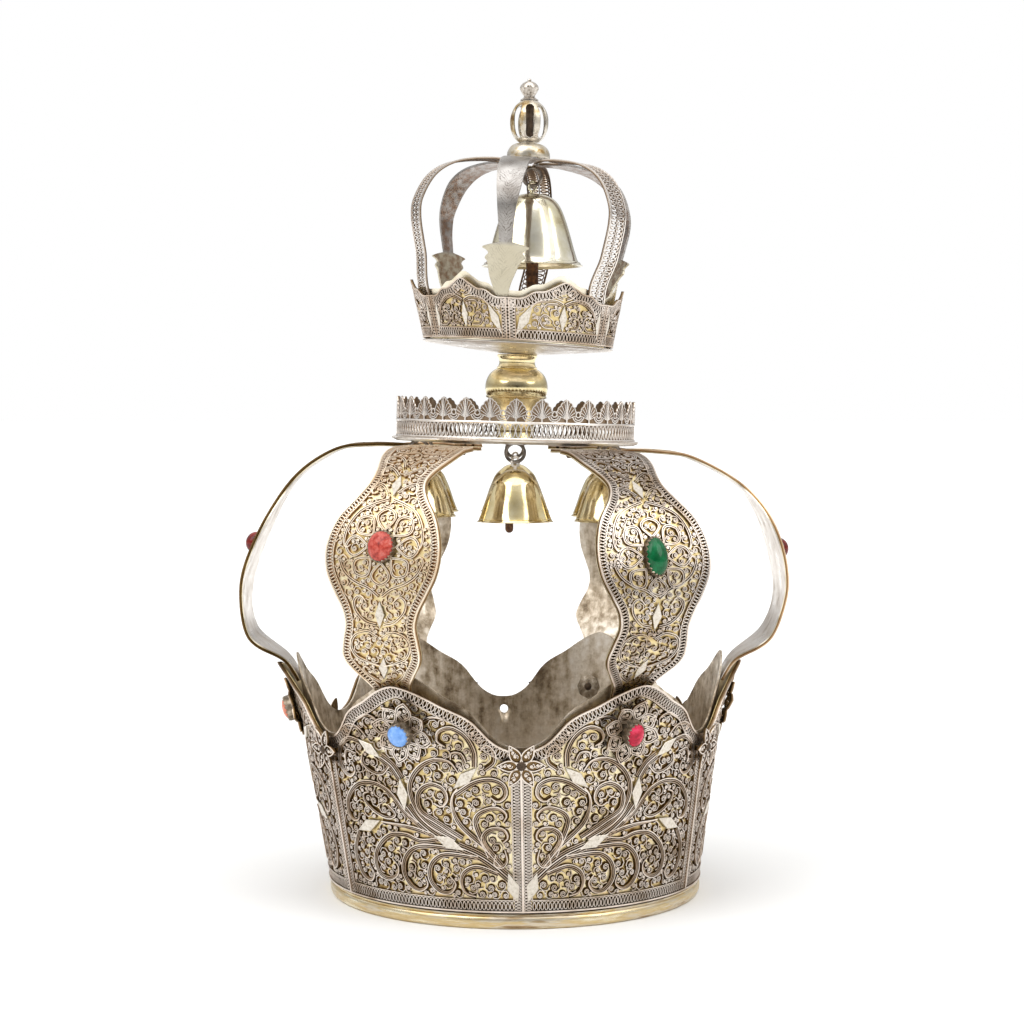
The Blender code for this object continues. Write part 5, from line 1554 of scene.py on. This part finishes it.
# Rise of the band's edge from a seam to the middle of a lobe, with a shoulder on the way.
BAND_RISE = ((0.0, 0.0), (0.25, 0.02), (0.46, 0.37), (0.64, 0.45), (0.80, 0.71), (1.0, 1.0))
band_rise = scalloped(BAND_RISE)


def band_top(u):
    """Height of the band's edge above its foot, laid flat, at this distance from a lobe's middle."""
    share = np.clip(1.0 - np.abs(u) / BAND_HALF, 0.0, 1.0)
    return BAND_VALLEY - BAND_FOOT + BAND_LOBE * np.interp(share, *band_rise)


def band_wall(azimuth, height, depth):
    """A point of the small crown's wall, in mm, this far in from the band's outer face."""
    climb = height - BAND_FOOT
    radius = PLATE_RADIUS + BAND_SLOPE * climb - depth
    return on_frame(upper_frame)(radius * np.sin(azimuth) - BAND_LEAN * climb,
                                 -radius * np.cos(azimuth), height)


def on_band(index):
    start = BAND_SEAMS[index]
    end = BAND_SEAMS[index + 1] if index + 1 < SIDES else BAND_SEAMS[0] + 360.0

    def place(u, v, h):
        azimuth = np.radians((start + end) / 2 + u / BAND_HALF * ((end - start) / 2 - 0.1))
        return band_wall(azimuth, BAND_FOOT + v, BAND_THICKNESS - h)
    return place


def on_band_seam(index):
    def place(u, v, h):
        return band_wall(math.radians(BAND_SEAMS[index]) + u / PLATE_RADIUS, BAND_FOOT + v,
                         BAND_THICKNESS - h)
    return place


plate_line = [(9.0, 1.0), (20.0, 2.1), (32.0, 3.3), (41.0, 4.2), (43.2, 4.45), (43.8, 4.2), (43.8, 3.8),
              (43.2, 3.45), (41.0, 3.15), (32.0, 2.25), (20.0, 1.05), (9.0, 0.0)]
dish = turned(plate_line, 144)
fit("small_crown_plate", dish, worn_silver, "upper_plate", at=upper_frame)

# Scrolls of the band, laid flat for a lobe whose leaning lozenge is at its right.
BAND_ARCHES = (
    ((-0.3, 16.8), (-3.5, 18.4), (-8.0, 19.0), (-12.5, 17.5), (-16.0, 14.0), (-17.6, 9.5)),
    ((0.3, 16.8), (3.5, 18.2), (8.0, 18.4), (12.0, 17.0), (14.2, 14.6)),
)
BAND_SPRIGS = (
    ((-1.0, 18.6), (-4.2, 20.0), (-5.0, 22.3), (-3.0, 23.3), (-1.6, 22.0)),
    ((0.8, 18.4), (4.0, 19.4), (5.6, 21.4), (4.2, 23.0), (2.4, 22.2)),
    ((-17.0, 5.4), (-12.5, 5.8), (-10.2, 9.0), (-11.8, 12.0), (-14.0, 11.2)),
    ((-4.0, 5.6), (-7.5, 6.4), (-8.3, 9.2), (-6.4, 10.9), (-4.6, 9.6)),
    ((4.0, 5.8), (8.8, 6.2), (10.6, 9.4), (8.6, 12.0), (6.4, 10.8)),
    ((3.2, 16.8), (7.6, 16.4), (9.2, 13.8), (7.4, 12.6)),
)
BAND_LOZENGES = ((0.0, 10.4, 6.0, 1.8, 90), (-20.0, 9.0, 6.6, 1.7, 88), (17.2, 9.0, 8.2, 2.2, -63))
BAND_EDGE = 4.6
BAND_FOOT_EDGE = 4.9
BAND_SIDE = 20.9
# Pitch, reach and lean of the coils along the foot, the top and the two sides.
BAND_FOOT_COIL, BAND_TOP_COIL, BAND_SIDE_COIL = (1.7, 2.0, 0.62), (1.5, 2.1, 0.62), (1.35, 1.5, 0.6)
BAND_FOOT_COIL_UP = 2.6
BAND_SIDE_COIL_AT = 22.4
BAND_SNAIL_SIZES = (2.2, 1.9, 1.6, 1.35, 1.1, 0.9, 0.75, 0.6)
edge_u = np.linspace(-BAND_HALF, BAND_HALF, 70)
band_edge = np.column_stack((edge_u, band_top(edge_u)))[::-1]
band_middle = beside(band_edge, 2.5)
lobe_bands = scroll_bands(BAND_ARCHES, 3, 0.75, 8.0) + scroll_bands(BAND_SPRIGS, 2, 0.7, 5.0)
band_outer = [band[0] for band in lobe_bands]
band_inner = inner_wires_of(lobe_bands)
band_foot = straight((-BAND_SIDE, BAND_FOOT_COIL_UP), (BAND_SIDE, BAND_FOOT_COIL_UP))
band_sides = both_sides(straight((BAND_SIDE_COIL_AT, 0.8), (BAND_SIDE_COIL_AT, 17.6)))
band_coils = [coil_border(band_foot, *BAND_FOOT_COIL), coil_border(band_middle, *BAND_TOP_COIL)]
band_coils += [coil_border(line, *BAND_SIDE_COIL) for line in band_sides]
band_rims = [band_edge - (0.0, 0.4), straight((-BAND_HALF, 0.35), (BAND_HALF, 0.35))]
band_lines = both_sides(straight((BAND_SIDE, 0.6), (BAND_SIDE, 15.5)))
band_lines.append(straight((-BAND_SIDE, BAND_FOOT_EDGE - 0.2), (BAND_SIDE, BAND_FOOT_EDGE - 0.2)))
clear = band_outer + band_inner + band_lines + [lozenge_line(*numbers) for numbers in BAND_LOZENGES]


def in_band_field(u, v):
    return ((np.abs(u) < BAND_SIDE) & (v > BAND_FOOT_EDGE) & (v < band_top(u) - BAND_EDGE)
            & off_lozenges(u, v, BAND_LOZENGES))


def band_outline(x, y):
    """Carry a grid from -1 to 1 on to the flat outline of a lobe."""
    return x * BAND_HALF, (y + 1.0) / 2.0 * (float(band_top(x * BAND_HALF)) - 0.3)


band_snails = pack_snails(((-BAND_SIDE, 4.0), (BAND_SIDE, 27.0)), in_band_field, clear,
                          BAND_SNAIL_SIZES, random.Random(31), 0.2)
for index in range(SIDES):
    flip = 1.0 if index % 2 == 0 else -1.0
    mirror = np.array((flip, 1.0))
    filigree = wirework(
        (band_snails, FINE_WIRE, 1.15, 0.25, 0.95, mirror),
        (band_inner, 0.4, 1.2, 0.25, 0.8, mirror),
        (band_outer, 0.5, 1.25, 0.25, 0.95, mirror),
        # Wide low strips under the coiled borders paint the shade and dirt between their wires.
        ([band_foot, band_middle * mirror, *band_sides], 3.8, 0.35, 0.25, 0.1),
        (band_coils, FINE_WIRE, 1.15, 0.25, 0.95, mirror),
        (band_lines, 0.4, 1.2, 0.25, 0.85, mirror),
        (band_rims, 0.8, 1.3, 0.0, 0.9, mirror))
    fit(f"small_crown_filigree_{index + 1}", bend(filigree, on_band(index)), wire_silver)
    backing = backing_sheet(40, 16, band_outline, 0.25)
    fit(f"small_crown_sheet_{index + 1}", bend(backing, on_band(index)), gilt_sheet,
        "upper_band" if index == 0 else None)
    plates = lozenge_plates(BAND_LOZENGES, flip, 0.6, 1.15)
    fit(f"small_crown_lozenges_{index + 1}", bend(plates, on_band(index)), cut_silver)
    bars = wirework((both_sides(straight((0.7, 0.0), (0.7, 18.5), spacing=3.0)), 0.7, 1.3, 0.2, 0.9))
    fit(f"small_crown_seam_bar_{index + 1}", bend(bars, on_band_seam(index)), wire_silver)

# Pale gilding worn thin over silver: cream where it is bright and soft brown in clouds.
pale_gilt = clouded("thin_pale_gilding", "#DED6BC", 0.2, 13.0,
                    ((0.3, "#ECE7D8"), (0.8, "#A08E66"), (0.62, "#D8CFB0")),
                    matt=(0.12, 0.28), dents=(0.12, 1.0))
# The same gilding left matt inside the small crown, where no cloth reaches.
matt_gilt = clouded("matt_cream_gilding", "#EFE7D0", 0.36, 15.0,
                    ((0.32, "#F8F2E2"), (0.78, "#BCA680"), (0.6, "#ECE2CA")),
                    matt=(0.3, 0.45), dents=(0.15, 0.8))


def small_lining_point(azimuth, share, outside):
    degrees = (math.degrees(azimuth) - BAND_SEAMS[0]) % 360.0 + BAND_SEAMS[0]
    ends = (*BAND_SEAMS, BAND_SEAMS[0] + 360.0)
    start, end = next(pair for pair in zip(ends, ends[1:]) if pair[0] <= degrees <= pair[1])
    middle = BAND_HALF * (2.0 * (degrees - start) / (end - start) - 1.0)
    top = BAND_FOOT + float(band_top(middle)) + BAND_LINING_RISE
    height = BAND_FOOT + (top - BAND_FOOT) * share
    depth = BAND_LINING_DEPTH + (0.0 if outside else BAND_LINING_THICKNESS)
    return band_wall(np.array([azimuth]), np.array([height]), depth).ravel()


fit("small_crown_lining", ring_wall(216, 6, small_lining_point), matt_gilt,
    "upper_lining")

# ---------------------------------------------------------------------------
# Straps of the small crown: three openwork ones of two rows of wire loops in a flat
# frame, and three cut from silver sheet, engraved with veins and ending in a maple leaf.
UPPER_ARCH_AZIMUTHS = (-9.0, 51.0, 116.0, 172.0, 225.0, 291.0)
UPPER_ARCH_PATH = (
    (5.0, 88.0), (20.0, 88.4), (36.0, 85.6), (46.5, 79.0), (52.6, 68.0), (53.4, 59.0),
    (50.8, 46.0), (47.5, 33.0), (45.5, 22.5),
)
UPPER_ARCH_LENGTH = 102.5
UPPER_ARCH_THICKNESS = 1.1
STRAP_HALF = 6.0
LEAF_STRAP_LINE = (
    (0, 6.6), (15, 6.7), (31, 6.7), (42, 6.4), (52, 5.4), (61, 4.2), (70, 3.3), (77.5, 2.9),
    (78.8, 8.2), (79.8, 10.9), (81, 8.6), (82.3, 7.4), (83.6, 8.6), (84.6, 8.9), (86, 7.5),
    (87.5, 6.9), (92, 5.6), (97, 3.8), (102.5, 2.0),
)


def strap_half(table, at):
    """Half width of a strap, narrowed where the six crowd together under the dome."""
    width = np.interp(at, *np.array(table, float).T)
    return np.minimum(width, (5.0 + at) * math.tan(math.radians(26.5)) - 0.3)


def with_band_lean(x, y, z):
    """Make a strap's foot follow the leaning band, and carry it into the small crown's frame."""
    foot = 1.0 - eased(z, 28.0, 44.0)
    return on_frame(upper_frame)(x - BAND_LEAN * (z - BAND_FOOT) * foot, y, z)


# Engraved silver sheet: bright and slightly pink-grey, with dark cut lines that fan like
# the veins of a leaf from the middle line. The flat place of each point is kept on it.
engraved, tree, shader = start_material("engraved_sheet_silver", "#C9C4BE", 0.34, 1.0)
flat = add_node(tree, "ShaderNodeAttribute", attribute_name="flat")
parts = add_node(tree, "ShaderNodeSeparateXYZ", {"Vector": flat.outputs["Vector"]})
aside = add_node(tree, "ShaderNodeMath", {0: parts.outputs["X"]}, operation="ABSOLUTE")
wander = add_node(tree, "ShaderNodeTexNoise", {"Vector": flat.outputs["Vector"]},
                  {"Scale": 0.55, "Detail": 3.0})
slanted = add_node(tree, "ShaderNodeMath", {0: aside.outputs[0], 2: parts.outputs["Y"]}, {1: -1.15},
                   operation="MULTIPLY_ADD")
waved = add_node(tree, "ShaderNodeMath", {0: wander.outputs["Fac"], 2: slanted.outputs[0]}, {1: 5.0},
                 operation="MULTIPLY_ADD")
CUT_PITCH = 1.7                 # mm between two cut lines
phase = add_node(tree, "ShaderNodeMath", {0: waved.outputs[0]}, {1: math.tau / CUT_PITCH},
                 operation="MULTIPLY")
veins = add_node(tree, "ShaderNodeMath", {0: phase.outputs[0]}, operation="SINE")
cut_line = add_node(tree, "ShaderNodeMapRange", {"Value": veins.outputs[0]},
                    {"From Min": 0.5, "From Max": 0.92, "To Min": 0.0, "To Max": 1.0})
fade = add_node(tree, "ShaderNodeTexNoise", {"Vector": flat.outputs["Vector"]},
                {"Scale": 0.3, "Detail": 2.0})
strength = add_node(tree, "ShaderNodeMapRange", {"Value": fade.outputs["Fac"]},
                    {"From Min": 0.38, "From Max": 0.62, "To Min": 0.1, "To Max": 0.8})
cut_dark = add_node(tree, "ShaderNodeMath", {0: cut_line.outputs[0], 1: strength.outputs[0]},
                    operation="MULTIPLY")
place = add_node(tree, "ShaderNodeTexCoord")
clouds = add_node(tree, "ShaderNodeTexNoise", {"Vector": place.outputs["Object"]},
                  {"Scale": 90.0, "Detail": 4.0})
tones = add_node(tree, "ShaderNodeValToRGB", {"Fac": clouds.outputs["Fac"]},
                 stops=((0.35, "#BAB6B2"), (0.75, "#807972")))
# The leaf at the foot keeps some of its gilding, and brown tarnish lies on the inner face.
leafy = add_node(tree, "ShaderNodeMapRange", {"Value": parts.outputs["Y"]},
                 {"From Min": -77.0, "From Max": -79.0, "To Min": 0.0, "To Max": 0.75})
gilded = add_node(tree, "ShaderNodeMixRGB", {0: leafy.outputs[0], 1: tones.outputs["Color"]},
                  {2: "#CFC6AC"})
inner = add_node(tree, "ShaderNodeMapRange", {"Value": parts.outputs["Z"]},
                 {"From Min": 0.0, "From Max": 0.4, "To Min": 1.0, "To Max": 0.0})
stained = add_node(tree, "ShaderNodeMath", {0: inner.outputs[0], 1: strength.outputs[0]},
                   operation="MULTIPLY")
browned = add_node(tree, "ShaderNodeMixRGB", {0: stained.outputs[0], 1: gilded.outputs[0]},
                   {2: "#846248"})
bare_leaf = add_node(tree, "ShaderNodeMath", {1: leafy.outputs[0]}, {0: 1.0}, operation="SUBTRACT")
ink = add_node(tree, "ShaderNodeMath", {0: cut_dark.outputs[0], 1: bare_leaf.outputs[0]},
               operation="MULTIPLY")
inked = add_node(tree, "ShaderNodeMixRGB", {0: ink.outputs[0], 1: browned.outputs[0]},
                 {2: "#625B54"})
tree.links.new(inked.outputs[0], shader.inputs["Base Color"])
grooves = add_node(tree, "ShaderNodeBump", {"Height": cut_dark.outputs[0]},
                   {"Strength": 0.5, "Distance": 0.0002}, invert=True)
tree.links.new(grooves.outputs[0], shader.inputs["Normal"])


def keep_flat(mesh):
    """Store on each point where it lies on the flat sheet, in mm."""
    flat_place = np.empty(len(mesh.vertices) * 3)
    mesh.vertices.foreach_get("co", flat_place)
    mesh.attributes.new("flat", "FLOAT_VECTOR", "POINT").data.foreach_set("vector", flat_place)
    return mesh


def leaf_outline(x, y):
    """Carry a grid from -1 to 1 on to the flat outline of a strap that ends in a leaf."""
    at = (1.0 - y) / 2.0 * UPPER_ARCH_LENGTH
    return x * float(strap_half(LEAF_STRAP_LINE, at)), -at


strap_at = np.linspace(0.0, UPPER_ARCH_LENGTH, 104)
half_widths = strap_half(((0.0, STRAP_HALF), (UPPER_ARCH_LENGTH, STRAP_HALF)), strap_at)
strap_rails = both_sides(beside(np.column_stack((half_widths, -strap_at)), -0.5))
middle_rail = straight((0.0, -9.0), (0.0, -UPPER_ARCH_LENGTH + 0.4))
strap_loops = both_sides(coil_border(
    np.column_stack((half_widths[9:] / 2 - 0.35, -strap_at[9:])), 2.3, 2.1, 0.5))
for index, degrees in enumerate(UPPER_ARCH_AZIMUTHS):
    on_upper_strap = on_strap(UPPER_ARCH_PATH, UPPER_ARCH_LENGTH,
                              lambda at: np.full(len(at), math.radians(degrees)),
                              UPPER_ARCH_THICKNESS, 0.2, with_band_lean)
    if index % 2:
        strap = wirework((strap_loops, 0.5, 0.95, 0.1, 1.0), ([middle_rail], 0.5, 0.9, 0.1, 1.0),
                         (strap_rails, 0.95, UPPER_ARCH_THICKNESS, 0.0, 1.0))
        surface, slot = wire_bright, "silver_filigree"
    else:
        strap = keep_flat(backing_sheet(6, 205, leaf_outline, UPPER_ARCH_THICKNESS))
        surface, slot = engraved, "silver"
    fit(f"small_crown_strap_{index + 1}", bend(strap, on_upper_strap), surface,
        f"upper_arch_{index + 1}")

# ---------------------------------------------------------------------------
# Large bell: spun and polished, gilded thinly, hung by a gilt hook from a ring under
# the dome of the small crown.
UPPER_BELL_DROP = 46.0
UPPER_BELL_SHIFT = 2.0
UPPER_BELL_HEIGHT = 33.2
UPPER_BELL_MOUTH = 23.2
UPPER_BELL_SHAPE = (
    (0.05, 0.998), (0.228, 0.985), (0.37, 0.945), (0.474, 0.89), (0.565, 0.80), (0.655, 0.645),
    (0.741, 0.455), (0.815, 0.265), (0.884, 0.105), (0.92, 0.05),
)
eye = upper_frame @ Vector((0.0, 0.0, (UPPER_ARCH_PATH[0][1] - 1.6) * MM))
mouth = tuple(eye / MM + Vector((UPPER_BELL_SHIFT, 0.0, -UPPER_BELL_DROP)))
fit("large_bell_shell", bell_shell(UPPER_BELL_SHAPE, UPPER_BELL_MOUTH, UPPER_BELL_HEIGHT, 96),
    pale_gilt, "upper_bell", Matrix.Translation(Vector(mouth) * MM))
hang("large_bell", mouth, UPPER_BELL_DROP - 0.3, UPPER_BELL_HEIGHT, pale_gilt)
clapper_rod("large_bell_rod", "upper_bell_clapper", mouth, UPPER_BELL_HEIGHT - 6.5, -11.5, 2.8)

# ---------------------------------------------------------------------------
# Finial: a low dome rivets the six straps together. A slotted egg of gilt sheet round
# an iron rod stands on it, and a fluted silver bud closes the top.
FINIAL_HEIGHT = 96.8
finial_frame = (upper_frame @ Matrix.Translation((0, 0, FINIAL_HEIGHT * MM))
                @ Matrix.Rotation(math.radians(-3.0), 4, "Y"))
CAGE_LINE = (
    (4.6, 0.15), (5.0, 0.5), (5.9, 1.2), (7.2, 2.8), (8.2, 4.8), (8.75, 7.0), (8.9, 9.3),
    (8.8, 11.4), (8.3, 13.5), (7.4, 15.4), (6.1, 17.1), (4.4, 18.6), (4.1, 18.9),
)
CAGE_WALL = 0.9
CAGE_SLOTS = 8
CAGE_TURN = math.radians(2.5)
SLOT_HALF_WIDTH = 1.95
SLOT_REACH = 5.6            # from the slot's middle to the centre of each round end
SLOT_MIDDLE = 9.4           # height of its middle
SLOT_FROM = 2.4             # the cut runs outwards from this radius
SLOT_DEPTH = 9.0

# Gilding rubbed back to silver: cream gold above, brown where dirt lies under the
# egg, and cool silver patches where hands turned it.
rubbed_gilt = clouded("rubbed_dome_gilding", "#CBBFA2", 0.24, 9.0,
                      ((0.36, "#D6D0C8"), (0.7, "#765634"), (0.53, "#CFC6B4"), (0.62, "#AC9468")),
                      detail=5.0, grain=0.65, matt=(0.18, 0.5))
# Cast silver of the bud: mid grey with black specks in its grain.
bud_silver = clouded("speckled_bud_silver", "#B8B0A6", 0.34, 1.5,
                     ((0.36, "#D8D1C8"), (0.74, "#4A4036"), (0.58, "#A89E92")),
                     grain=0.7, dents=(0.3, 0.15))

dome_line = rounded([(4.4, 96.4), (6.6, 95.9), (8.5, 94.5), (9.6, 92.6), (9.9, 91.0)], 0.4)
dome = turned([*dome_line, (9.95, 90.3), (9.8, 89.6), (9.3, 89.3), (9.0, 89.3)], 72)
fit("finial_dome_cap", dome, rubbed_gilt, "finial_dome", at=upper_frame)

cage_line = rounded(CAGE_LINE, 0.7)
cage = turned([*cage_line, *(cage_line[::-1] - (CAGE_WALL, 0.0))], 96, True)
cage = fit("finial_slotted_egg", cage, rubbed_gilt, "finial_cage", finial_frame)
slots = bmesh.new()
for slot in range(CAGE_SLOTS):
    made = bmesh.ops.create_circle(slots, cap_ends=True, segments=24,
                                    radius=SLOT_HALF_WIDTH * MM)["verts"]
    for vert in made:
        vert.co.y += math.copysign(SLOT_REACH * MM, vert.co.y)
    faces = list({face for vert in made for face in vert.link_faces})
    raised = bmesh.ops.extrude_face_region(slots, geom=faces)["geom"]
    tops = [item for item in raised if isinstance(item, bmesh.types.BMVert)]
    bmesh.ops.translate(slots, verts=tops, vec=(0, 0, SLOT_DEPTH * MM))
    azimuth = CAGE_TURN + slot * math.tau / CAGE_SLOTS
    bmesh.ops.transform(slots, verts=made + tops, matrix=(
        finial_frame @ Matrix.Translation((0, 0, SLOT_MIDDLE * MM))
        @ Matrix.Rotation(azimuth, 4, "Z") @ Matrix.Rotation(math.pi / 2, 4, "X")
        @ Matrix.Translation((0, 0, SLOT_FROM * MM))))
bmesh.ops.recalc_face_normals(slots, faces=slots.faces)
cut_away(cage, slots)
fit("finial_rod", turned([(1.9, 18.4), (1.9, 0.5)], 20), dark_iron, at=finial_frame)

# The bud is turned, and its lower half is fluted into eight petals. Its line is in mm
# from the top of the egg.
BUD_LINE = (
    (0.25, 10.3), (0.75, 10.1), (0.95, 9.6), (0.8, 9.2), (1.6, 8.95), (2.9, 8.3), (3.9, 7.2),
    (4.3, 6.4), (4.5, 5.9), (4.3, 5.3), (3.7, 4.1), (2.9, 2.9), (2.5, 2.4), (2.5, 2.0), (3.0, 1.4),
    (4.1, 0.6), (4.1, 0.3),
)
BUD_FOOT = 18.9
BUD_PETALS = 8
bud = turned([(radius, height + BUD_FOOT) for radius, height in BUD_LINE], 96)
for vert in bud.verts:
    height = vert.co.z / MM - BUD_FOOT
    low_half = eased(height, 2.6, 3.6) * (1.0 - eased(height, 5.6, 6.6))
    turn = math.atan2(vert.co.y, vert.co.x)
    vert.co.xy *= 1.0 - 0.12 * float(low_half) * (0.5 + 0.5 * math.cos(BUD_PETALS * turn)) ** 2
fit("finial_fluted_bud", bud, bud_silver, "finial_bud", at=finial_frame)

# ---------------------------------------------------------------------------
# Bolt on the lining's rear: a dark eight-sided washer and the end of a rivet, where the
# foot of the back right arch is pinned.
WASHER_AZIMUTH = math.radians(155.4)
WASHER_HEIGHT = 83.0
washer_radius = PANEL_RADIUS + WALL_SLOPE * WASHER_HEIGHT - LINING_DEPTH - LINING_THICKNESS - 0.1
inward = facing(leaning(WASHER_AZIMUTH, WASHER_HEIGHT, washer_radius),
                WASHER_AZIMUTH + math.pi, -math.atan(WALL_SLOPE))
plate = turned([(2.0, 0.9), (5.2, 0.8), (6.0, 0.5), (6.0, 0.0)], 8)
fit("lining_washer", plate, dull_silver, at=inward)
pin = turned([(0.8, 2.0), (1.6, 1.7), (1.9, 1.0), (1.9, 0.0)], 20)
fit("lining_rivet", pin, dark_iron, at=inward)
